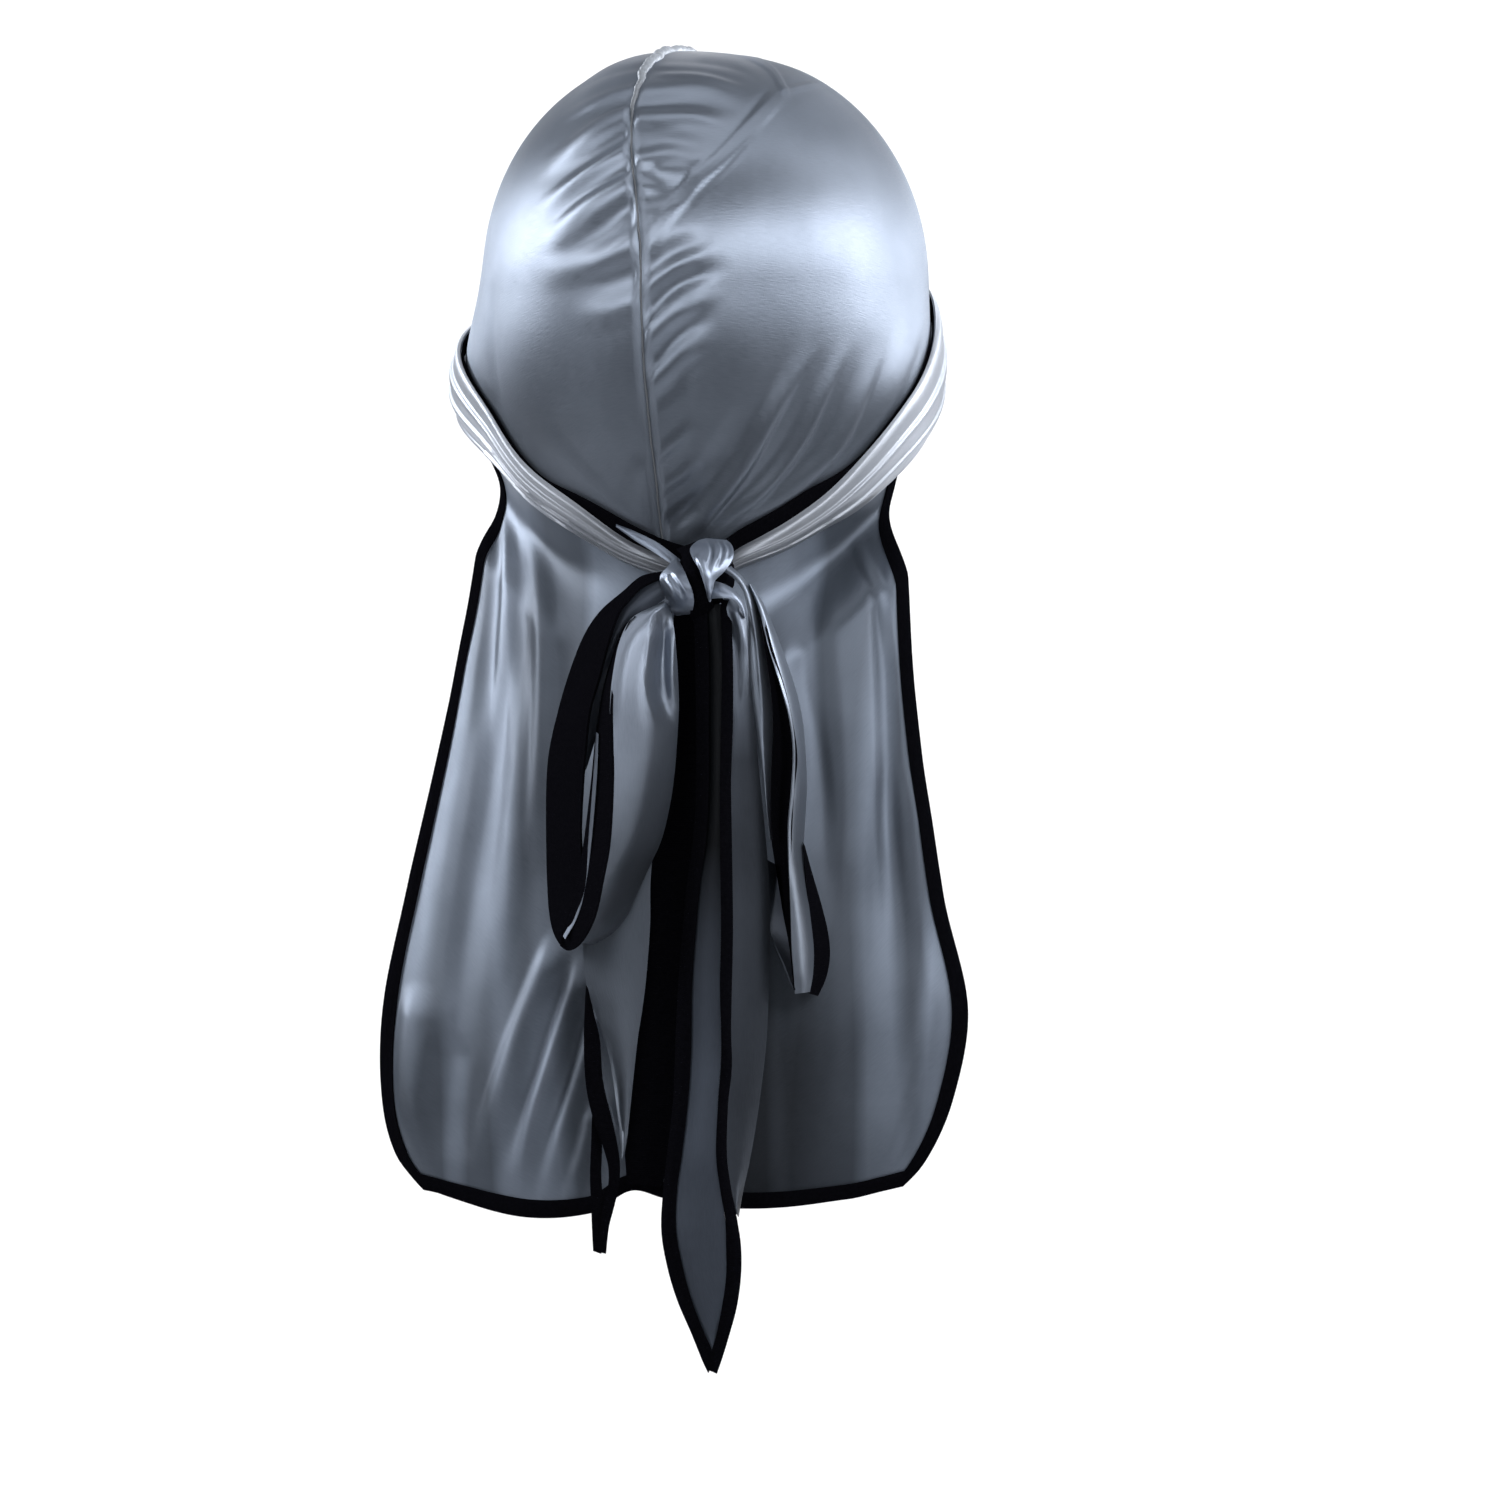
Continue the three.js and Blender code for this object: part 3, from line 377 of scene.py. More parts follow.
def fold_lift(folds, across, down):
    """Height of all folds at each place. Each fold runs along its path and fades at its ends."""
    fade_in, fade_out = 0.18, 0.45
    total = np.zeros_like(across)
    for height, half_width, lean, flat, path in folds:
        points = rounded_path(np.reshape(path, (-1, 2)) / TENTHS)
        lengths = np.hypot(*(points[1:] - points[:-1]).T)
        run = lengths.sum()
        nearest = np.full_like(across, np.inf)
        side = np.zeros_like(across)
        share = np.zeros_like(across)
        passed = 0
        for (x, y), (dx, dy), length in zip(points[:-1], points[1:] - points[:-1], lengths):
            t = np.clip(((across - x) * dx + (down - y) * dy) / length ** 2, 0, 1)
            away_x, away_y = across - x - t * dx, down - y - t * dy
            away = np.hypot(away_x, away_y)
            closer = away < nearest
            nearest = np.where(closer, away, nearest)
            side = np.where(closer, np.sign(away_x * dy - away_y * dx), side)
            share = np.where(closer, (passed + t * length) / run, share)
            passed += length
        off = nearest / (half_width / TENTHS * (1 + lean * side))
        off = np.clip((off - flat) / (1 - flat), 0, 1)
        ends = smooth_step(share / fade_in) * smooth_step((1 - share) / fade_out)
        total += height / TENTHS * bell(off) * ends
    return total


def normals_of(points):
    """Unit normals of a grid of points, from the first direction turned to the second."""
    normals = np.cross(np.gradient(points, axis=0), np.gradient(points, axis=1))
    lengths = np.linalg.norm(normals, axis=-1, keepdims=True)
    return np.where(lengths > TINY, normals / np.maximum(lengths, TINY), [0, 0, 1])


def head_section(level):
    """Drop and half sizes of the head at a level: 0 is the top, 1 the widest and 2 the neck."""
    dome = np.sin(np.clip(level, 0, 1) * math.pi / 2) ** DOME_FULLNESS
    fall = np.clip(level - 1, 0, 1)
    upper = level <= 1
    drop = np.where(upper, DOME_DROP * (1 - np.cos(np.clip(level, 0, 1) * math.pi / 2)),
                    mix(DOME_DROP, NECK_DROP, fall))
    halves = [size * np.where(upper, dome, curve(NECK_ROWS, column)(fall))
              for column, size in enumerate([HEAD_HALF_BREADTH, HEAD_BACK_REACH, HEAD_FRONT_REACH], 1)]
    return drop, *halves


def level_at(drop):
    dome = np.arccos(np.clip(1 - drop / DOME_DROP, -1, 1)) / (math.pi / 2)
    return np.where(drop < DOME_DROP, dome, 1 + (drop - DOME_DROP) / (NECK_DROP - DOME_DROP))


def head_points(turn, level):
    """Points on the head at a turn from the back in degrees and a level."""
    drop, side, back, front = head_section(level)
    sine, cosine = np.sin(np.radians(turn)), np.cos(np.radians(turn))
    ear_span = math.degrees(EAR_REACH / HEAD_HALF_BREADTH)
    ear = bell((drop - EAR_DROP) / EAR_REACH) * (
        LEFT_EAR_LIFT * bell((turn + EAR_TURN) / ear_span)
        + RIGHT_EAR_LIFT * bell((turn - EAR_TURN) / ear_span))
    x = side * sine + ear * np.sign(turn)
    y = (front - back) / 2 - (front + back) / 2 * cosine
    return np.stack([x, y, -drop], axis=-1)


def head_normals(turn, level):
    step = 0.01
    level = np.maximum(level, step)
    over = head_points(turn + 1, level) - head_points(turn - 1, level)
    below = head_points(turn, level + step) - head_points(turn, level - step)
    normals = np.cross(below, over)
    return normals / np.maximum(np.linalg.norm(normals, axis=-1, keepdims=True), TINY)


def band_drop(turn, share):
    """Drop of the band at a turn: share 0 is its lower edge and 1 its upper edge."""
    return CROWN_DROP * mix(curve(BAND_ROWS, 2)(turn), curve(BAND_ROWS, 1)(turn), share)


def wrapped(turn):
    return (turn + 180) % 360 - 180


def drifted(points):
    """The seam lies off the middle at the back of the dome, and takes the cloth along."""
    behind = smooth_step(0.5 - points[..., 1] / HEAD_FRONT_REACH)
    high = smooth_step((points[..., 2] + DOME_DROP) / (SEAM_DRIFT_DEPTH * DOME_DROP))
    beside = bell(2 * points[..., 0] / HEAD_HALF_BREADTH)
    moved = points.copy()
    moved[..., 0] -= SEAM_DRIFT * behind * high * beside
    return moved


def evened(points, reach=5):
    """The same grid with each point at the mean of those above and below it."""
    padded = np.concatenate([points[:, :1]] * reach + [points] + [points[:, -1:]] * reach, axis=1)
    middle = sum(padded[:, i:i + points.shape[1]] for i in range(2 * reach + 1)) / (2 * reach + 1)
    inner = np.minimum(np.arange(points.shape[1]), np.arange(points.shape[1])[::-1])
    share = smooth_step(inner / (3 * reach))[None, :, None]
    return points + (middle - points) * share


def shares(along, across):
    """Two grids of shares, along the first direction and across it."""
    return np.meshgrid(np.linspace(0, 1, along + 1), np.linspace(0, 1, across + 1), indexing="ij")


def sheet_mesh(name, points, wall, outward):
    """Sheet of cloth through a grid of points, with a UV map in metres and a wall behind it."""
    along, across = points.shape[0] - 1, points.shape[1] - 1
    bpy.ops.object.select_all(action="DESELECT")
    bpy.ops.mesh.primitive_grid_add(x_subdivisions=along, y_subdivisions=across, size=1)
    piece = bpy.context.object
    piece.name = piece.data.name = name
    mesh = piece.data
    flat = np.empty(len(mesh.vertices) * 3)
    mesh.vertices.foreach_get("co", flat)
    flat = flat.reshape(-1, 3)
    i = np.rint((flat[:, 0] + 0.5) * along).astype(int)
    j = np.rint((flat[:, 1] + 0.5) * across).astype(int)
    mesh.vertices.foreach_set("co", points[i, j].ravel())
    run = np.zeros(points.shape[:2])
    run[1:] = np.cumsum(np.linalg.norm(points[1:] - points[:-1], axis=-1), axis=0)
    rise = np.zeros(points.shape[:2])
    rise[:, 1:] = np.cumsum(np.linalg.norm(points[:, 1:] - points[:, :-1], axis=-1), axis=1)
    corner = np.empty(len(mesh.loops), dtype=int)
    mesh.loops.foreach_get("vertex_index", corner)
    uv = np.stack([run[i, j], rise[i, j]], axis=-1)[corner]
    mesh.uv_layers.active.data.foreach_set("uv", uv.ravel())
    mesh.update()
    if np.sum(normals_of(points) * outward) < 0:
        bpy.ops.object.mode_set(mode="EDIT")
        bpy.ops.mesh.select_all(action="SELECT")
        bpy.ops.mesh.flip_normals()
        bpy.ops.object.mode_set(mode="OBJECT")
    solid = piece.modifiers.new("Wall", "SOLIDIFY")
    solid.thickness = wall
    solid.offset = -1
    solid.use_even_offset = True
    solid.thickness_clamp = 1
    bpy.ops.object.modifier_apply(modifier="Wall")
    bpy.ops.object.shade_smooth_by_angle(angle=SMOOTH_ANGLE)
    return piece


def sheet_piece(name, points, wall, outward, material, node=None):
    """Sheet that shows, in a material, in place of the CAD node that it replaces."""
    piece = sheet_mesh(name, points, wall, outward)
    piece.data.materials.clear()
    piece.data.materials.append(material)
    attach(piece, "root")
    if node:
        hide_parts(node)
    return piece


# Materials

def fill(tree, node, inputs):
    """Inputs of a node: each takes a value, or is linked to the output of another node."""
    for key, value in inputs.items():
        if isinstance(value, bpy.types.NodeSocket):
            tree.links.new(value, node.inputs[key])
        else:
            node.inputs[key].default_value = value


def added(tree, kind, inputs, **settings):
    node = tree.nodes.new(kind)
    for setting, value in settings.items():
        setattr(node, setting, value)
    fill(tree, node, inputs)
    return node


def shader(name, color, roughness, metallic):
    material = bpy.data.materials.new(name)
    material.use_nodes = True
    tree = material.node_tree
    surface = tree.nodes["Principled BSDF"]
    fill(tree, surface, {"Base Color": (*color, 1), "Roughness": roughness, "Metallic": metallic})
    return material, tree, surface


def ramp(tree, source, low, high, start=0.3, end=0.7):
    """Value that runs from low to high while its source runs from start to end."""
    inputs = {"Value": source, "From Min": start, "From Max": end, "To Min": low, "To Max": high}
    return added(tree, "ShaderNodeMapRange", inputs).outputs["Result"]


def noise_of(tree, vector, scale, detail, stretch=(1, 1, 1)):
    mapping = added(tree, "ShaderNodeMapping", {"Vector": vector, "Scale": stretch})
    inputs = {"Vector": mapping.outputs["Vector"], "Scale": scale, "Detail": detail}
    return added(tree, "ShaderNodeTexNoise", inputs).outputs["Fac"]


def bump(tree, height, distance, strength, before=None):
    inputs = {"Height": height, "Distance": distance, "Strength": strength}
    if before is not None:
        inputs["Normal"] = before
    return added(tree, "ShaderNodeBump", inputs).outputs["Normal"]


def mixed(tree, kind, factor, first, second):
    inputs = {"Factor": factor, "A": first, "B": second}
    return added(tree, "ShaderNodeMix", inputs, data_type="RGBA", blend_type=kind).outputs["Result"]


def places(tree):
    return added(tree, "ShaderNodeTexCoord", {}).outputs


def painted_shade_down(from_down, to_down, low, high):
    """Painted shade: a factor for the colour that runs from low to high between two places down the view, in
    tenths of a millimetre.
    """
    def shade(tree):
        parts = added(tree, "ShaderNodeSeparateXYZ", {"Vector": places(tree)["Object"]})
        return ramp(tree, parts.outputs["Z"], low, high,
                    VIEW_HEIGHT - from_down / TENTHS, VIEW_HEIGHT - to_down / TENTHS)
    return shade


def painted_bow_shadow(tree):
    """Painted shade of the cape: a painted shadow, darkest behind the bow, times darker painted bands of
    shade down its pleats.
    """
    middle_x, middle_z, half_breadth, half_height = 0.024, -0.372, 0.056, 0.120
    place = places(tree)["Object"]
    mapping = added(tree, "ShaderNodeMapping", {
        "Vector": place,
        "Scale": (1 / half_breadth, 0, 1 / half_height),
        "Location": (-middle_x / half_breadth, 0, -middle_z / half_height)})
    away = added(tree, "ShaderNodeVectorMath", {0: mapping.outputs["Vector"]}, operation="LENGTH")
    # painted shade: noisy darker bands down the pleats
    stripes = noise_of(tree, place, scale=44, detail=1, stretch=(1, 0, 0.07))
    bands = ramp(tree, stripes, 0.52, 1.0, start=0.42, end=0.54)
    # painted shadow of the bow, darkest at the middle of the patch
    middle = ramp(tree, away.outputs["Value"], 0.2, 1.0, start=0.35, end=1.2)
    return added(tree, "ShaderNodeMath", {0: middle, 1: bands}, operation="MULTIPLY").outputs["Value"]


def satin_cloth(name, dark, light, roughness, gloss, shade=None):
    """Satin: long floats of yarn along one direction give streaks, sheen and a soft gloss."""
    material, tree, surface = shader(name, light, roughness, gloss)
    tangent = added(tree, "ShaderNodeTangent", {}, direction_type="UV_MAP").outputs["Tangent"]
    place = places(tree)
    yarn = noise_of(tree, place["UV"], scale=260, detail=2, stretch=(1, 9, 1))
    cross = noise_of(tree, place["UV"], scale=900, detail=1, stretch=(6, 1, 1))
    cloud = noise_of(tree, place["Object"], scale=22, detail=3)
    streaks = {0: yarn, 1: 0.5, 2: ramp(tree, cloud, 0.1, 0.6)}
    blend = added(tree, "ShaderNodeMath", streaks, operation="MULTIPLY_ADD")
    color = mixed(tree, "MIX", blend.outputs["Value"], (*dark, 1), (*light, 1))
    # painted shade: the colour is multiplied by the shade factor
    if shade is not None:
        color = mixed(tree, "MULTIPLY", 1, color, shade(tree))
    normal = bump(tree, yarn, distance=0.0001, strength=0.35)
    normal = bump(tree, cross, distance=0.00006, strength=0.25, before=normal)
    normal = bump(tree, cloud, distance=0.002, strength=0.12, before=normal)
    fill(tree, surface, {
        "Specular IOR Level": 0.12,
        "Anisotropic": 0.8,
        "Tangent": tangent,
        "Base Color": color,
        "Roughness": ramp(tree, yarn, roughness - 0.05, roughness + 0.06),
        "Normal": normal})
    return material


def binding_tape(name):
    """Matt black tape with a fine rib across it."""
    dark, light = (0.0010, 0.0010, 0.0016, 1), (0.0030, 0.0030, 0.0042, 1)
    material, tree, surface = shader(name, (0.002, 0.002, 0.003), roughness=0.85, metallic=0.0)
    place = places(tree)
    rib = added(tree, "ShaderNodeTexWave", {"Vector": place["UV"], "Scale": 420, "Distortion": 1.5})
    grain = noise_of(tree, place["Object"], scale=900, detail=3)
    normal = bump(tree, rib.outputs["Fac"], distance=0.0002, strength=0.3)
    fill(tree, surface, {
        "Specular IOR Level": 0.0,
        "Base Color": mixed(tree, "MIX", grain, dark, light),
        "Roughness": ramp(tree, grain, 0.75, 0.95),
        "Normal": bump(tree, grain, distance=0.0001, strength=0.3, before=normal)})
    return material


SATIN = satin_cloth("Silver blue satin", (0.11, 0.130, 0.168), (0.205, 0.238, 0.30), 0.4, 0.8)
# painted shade: the crown's satin is painted darker towards the bottom of the crown
CROWN_SATIN_SHADED_BELOW = satin_cloth("Satin of the crown, painted darker below", (0.115, 0.136, 0.172), (0.215, 0.248, 0.306),
                          0.43, 0.73, painted_shade_down(-1476, -1116, 1.0, 0.6))
# painted shade: a painted shadow behind the bow and painted shade down the cape's pleats
CAPE_SATIN_PAINTED_SHADE = satin_cloth("Single layer satin with painted shade", (0.08, 0.096, 0.125), (0.172, 0.202, 0.255),
                         0.44, 0.55, painted_bow_shadow)
# painted light and shade: the straps' satin is painted lighter than the crown's, and painted darker lower
# down towards the knot
STRAP_SATIN_PAINTED_LIGHT_AND_SHADE = satin_cloth("Taut satin, painted lighter, and darker towards the knot", (0.235, 0.26, 0.30), (0.42, 0.45, 0.51),
                          0.45, 0.6, painted_shade_down(-1116, -648, 1.0, 0.5))
STRAND_SATIN = satin_cloth("Satin shaded towards its end", (0.12, 0.14, 0.18), (0.21, 0.245, 0.31),
                           0.4, 0.75, painted_shade_down(-468, 36, 0.6, 0.14))
DEEP_SATIN = satin_cloth("Satin in the shade of the knot", (0.04, 0.048, 0.064), (0.075, 0.09, 0.12),
                         0.42, 0.6, painted_shade_down(324, 1116, 0.05, 0.7))
# painted shade: the bow's satin is painted darker lower down
LOOP_SATIN_SHADED_BELOW = satin_cloth("Satin of the bow, painted darker below", (0.12, 0.14, 0.176), (0.21, 0.242, 0.30),
                         0.4, 0.72, painted_shade_down(-180, 396, 1.0, 0.45))
# painted shade: satin inside a loop, painted near black as it lies in shade
INNER_SATIN_PAINTED_SHADE = satin_cloth("Satin inside a loop, painted dark as shade", (0.02, 0.024, 0.032), (0.045, 0.053, 0.07), 0.5, 0.5)
# painted light and shade: the seam roll is painted lighter than the crown's satin over the top of the head,
# and painted darker down it
SEAM_SATIN_PAINTED_LIGHT_AND_SHADE = satin_cloth("Seam roll satin, painted light on top and dark lower down", (0.22, 0.245, 0.28), (0.42, 0.45, 0.5),
                         0.45, 0.5, painted_shade_down(-2448, -2160, 1.0, 0.3))
TAPE = binding_tape("Black binding tape")


# Crown

def crown_panel(name, side, folds, node):
    """Half of the crown, from the seam round to the forehead, with the folds pulled in it."""
    along, across = shares(*CROWN_GRID)
    turn = side * 180 * along ** CROWN_CROWDING
    rim = band_drop(turn, 0.5)
    level = level_at(rim) * across
    base = evened(head_points(turn, level))
    normals = head_normals(turn, level)
    beside_seam = np.abs(base[..., 0])
    base = drifted(base)
    seen_across, seen_down, near = seen(base)
    above_rim = rim + base[..., 2]
    lift = FOLD_DEPTH * fold_lift(folds, seen_across, seen_down) * smooth_step(beside_seam / SEAM_CLEARANCE)
    lift *= smooth_step(near / FOLD_SIDE_FADE) * smooth_step((above_rim - FOLD_STOP) / FOLD_RUN_OUT)
    lift -= SEAM_GROOVE * bell(beside_seam / SEAM_GROOVE_HALF)
    points = base + normals * (CLOTH_WALL + lift)[..., None]
    sheet_piece(name, points, CLOTH_WALL, normals, CROWN_SATIN_SHADED_BELOW, node)


def waves(s, rows):
    return sum(share * np.sin(s * pace + start) for share, pace, start in rows)


def seam_roll():
    """Rolled and puckered seam over the top of the head, thicker over the dome."""
    along, around = shares(SEAM_STEPS, 10)
    front_level = float(level_at(band_drop(np.array(180.0), 0.5)))
    back_level = float(level_at(band_drop(np.array(0.0), 0.5)))
    signed = mix(-front_level, back_level, along)
    behind = signed > 0
    turn = np.where(signed < 0, 180.0, 0.0)
    level = np.abs(signed)
    base = head_points(turn, level)
    base[..., 0] = 0
    normals = head_normals(turn, level)
    normals[..., 0] = 0
    below_top = smooth_step((-base[..., 2] - SEAM_THINNING_START) / SEAM_THINNING_RUN)
    thick = 1 - SEAM_THINNING * np.where(behind, below_top, SEAM_FRONT_THINNING)
    angle = mix(-SEAM_CURL, SEAM_CURL, around)
    s = along * SEAM_STEPS
    half = SEAM_HALF_WIDTH * thick * (1 + waves(s, SEAM_PUCKERS) * np.cos(angle))
    rise = CLOTH_WALL - SEAM_SINK * SEAM_GROOVE + half * SEAM_HEIGHT_SHARE * np.cos(angle)
    points = drifted(base)
    points[..., 0] += half * np.sin(angle) + SEAM_SWAY * waves(s, SEAM_SWAYS) * thick
    points += normals * rise[..., None]
    sheet_piece("centre_seam_roll", points, SEAM_WALL, normals, SEAM_SATIN_PAINTED_LIGHT_AND_SHADE, "centre_seam")


crown_panel("crown_left_cloth", -1, LEFT_CROWN_FOLDS, "crown_panel_left")
crown_panel("crown_right_cloth", 1, RIGHT_CROWN_FOLDS, "crown_panel_right")
seam_roll()


# Straps and band

def tape_shown(turn):
    """Width of the tape that shows above a strap: it comes out from under it towards the knot."""
    left = smooth_step((turn - LEFT_TAPE_START) / LEFT_TAPE_RUN)
    right = smooth_step((RIGHT_TAPE_START - turn) / RIGHT_TAPE_RUN)
    return TAPE_WIDTH * np.where(turn < KNOT_TURN, left, right) - TAPE_TUCK


def band_edges(turn):
    return band_drop(turn, 0), band_drop(turn, 1)


def tape_edges(turn):
    upper = band_drop(turn, 1) - tape_shown(turn)
    return band_drop(turn, 1) + TAPE_WIDTH - tape_shown(turn), upper


def pleats(count, rise):
    """Overlapping pleats: each climbs slowly and drops at once onto the next."""
    def lift_at(along, across):
        q = across * count + PLEAT_WAVER * np.sin(along * PLEAT_WAVER_PACE)
        part = q - np.floor(q)
        climb = smooth_step(part / PLEAT_CLIMB) * smooth_step((1 - part) / PLEAT_EDGE)
        climb *= mix(PLEAT_FLATTENED, 1, smooth_step((1 - along) / PLEAT_FLATTENING_RUN))
        return rise * climb + STRAP_SWELL * np.sin(np.pi * across) ** STRAP_ROUNDNESS
    return lift_at


def plain(along, across):
    return 0.0 * across


def band_sheet(name, node, material, turns, edges_at, lift_at, counts, gap=STRAP_GAP, wall=RIBBON_WALL):
    """Ribbon round the head between two turns, with its lower and upper edges at each turn."""
    along, across = shares(*counts)
    turn = wrapped(mix(*turns, along))
    drop = mix(*edges_at(turn), across)
    level = level_at(drop)
    normals = head_normals(turn, level)
    points = head_points(turn, level)
    points += normals * (CLOTH_WALL + gap + wall + lift_at(along, across))[..., None]
    sheet_piece(name, points, wall, normals, material, node)


LEFT_TURNS = (-TEMPLE_TURN, LEFT_STRAP_END)
RIGHT_TURNS = (TEMPLE_TURN, RIGHT_STRAP_END)
FRONT_TURNS = (TEMPLE_TURN - 1, 360 - TEMPLE_TURN + 1)
STRAPS = [
    # name, node, material, turns, edges, lift, counts, gap, wall
    ("strap_left_cloth", "strap_left", STRAP_SATIN_PAINTED_LIGHT_AND_SHADE, LEFT_TURNS, band_edges, pleats(4, 0.0010), (190, 60)),
    ("strap_right_cloth", "strap_right", STRAP_SATIN_PAINTED_LIGHT_AND_SHADE, RIGHT_TURNS, band_edges, pleats(3, 0.0009), (170, 54)),
    ("strap_left_tape", "strap_left_binding", TAPE, LEFT_TURNS, tape_edges, plain, (190, 8),
     STRAP_TAPE_GAP, TAPE_WALL),
    ("strap_right_tape", "strap_right_binding", TAPE, RIGHT_TURNS, tape_edges, plain, (190, 8),
     STRAP_TAPE_GAP, TAPE_WALL),
    ("front_band_cloth", "front_band", STRAP_SATIN_PAINTED_LIGHT_AND_SHADE, FRONT_TURNS, band_edges, pleats(2, 0.0008), (90, 24)),
]
for strap in STRAPS:
    band_sheet(*strap)


# Cape

def cape_points(across, down):
    """The cape without its folds: it leaves the head at the nape and then hangs."""
    turn = across * np.where(across < 0, CAPE_LEFT_TURN, CAPE_RIGHT_TURN)
    top = band_drop(turn, 0.5) + RIM_GAP
    hem = CROWN_DROP + CAPE_LENGTH * curve(HEM_ROWS, 1)(across)
    drop = mix(top, hem, down)
    fall = (drop - CROWN_DROP) / CAPE_LENGTH
    left, right, edge_back, middle_back = [curve(CAPE_ROWS, column)(fall) for column in range(1, 5)]
    spread = mix(left, right, smooth_step(across + 0.5))
    edge = np.where(across < 0, left, right)
    width = CAPE_HALF_SPREAD * mix(spread, edge, np.abs(across))
    reach = mix(middle_back, edge_back, across ** 2)
    hang = np.stack([across * width, -CAPE_BACK_REACH * reach, -drop], axis=-1)
    head = head_points(turn, np.minimum(level_at(drop), 2))
    head[..., 2] = -drop
    share = smooth_step((down - CAPE_LEAVES_HEAD) / CAPE_LEAVING_RUN)[..., None]
    return head + (hang - head) * share


def cape_surface(across, down):
    """The hanging cape with its folds and a ripple, and its outward direction."""
    points = cape_points(across, down)
    step = 0.006
    over = cape_points(across + step, down) - cape_points(across - step, down)
    below = cape_points(across, down + step) - points
    normals = np.cross(below, over)
    normals /= np.linalg.norm(normals, axis=-1, keepdims=True)
    seen_across, seen_down, near = seen(points)
    free = smooth_step((down - CAPE_FOLDS_START) / CAPE_FOLDS_RUN)
    ripple = sum(height * np.sin(seen_across * pace + sway * np.sin(seen_down * sway_pace + sway_start))
                 for height, pace, sway, sway_pace, sway_start in CAPE_RIPPLES)
    lift = CAPE_FOLD_DEPTH * fold_lift(CAPE_FOLDS, seen_across, seen_down) + ripple
    return points + normals * (free * lift + CLOTH_WALL)[..., None], normals


def cape_cloth():
    along, across = shares(*CAPE_GRID)
    side, hem = BINDING_WIDTH * 0.5 / CAPE_HALF_SPREAD, BINDING_WIDTH * 0.5 / CAPE_LENGTH
    points, normals = cape_surface(mix(-1, 1, along) * (1 - side), across ** CAPE_CROWDING * (1 - hem))
    sheet_piece("cape_cloth", points, CLOTH_WALL, normals, CAPE_SATIN_PAINTED_SHADE, "cape")


def cape_tape():
    """Binding down the left edge, along the hem and up the right edge."""
    side_count, hem_count = 150, 190
    count = 2 * side_count + hem_count
    along, inward = shares(count, 6)
    station = along * count
    down = np.minimum(np.minimum(station, count - station) / side_count, 1) ** CAPE_TAPE_CROWDING
    hem = np.clip((station - side_count) / hem_count, 0, 1)
    points, normals = cape_surface(
        mix(-1, 1, hem) * (1 - BINDING_WIDTH * inward / CAPE_HALF_SPREAD),
        down * (1 - CAPE_TAPE_CROWDING * BINDING_WIDTH * inward / CAPE_LENGTH))
    points += normals * (CAPE_TAPE_LIFT + CAPE_TAPE_SWELL * np.sin(np.pi * inward))[..., None]
    sheet_piece("cape_tape", points, CAPE_TAPE_WALL, normals, TAPE, "cape_binding")


cape_cloth()
cape_tape()


# Bow

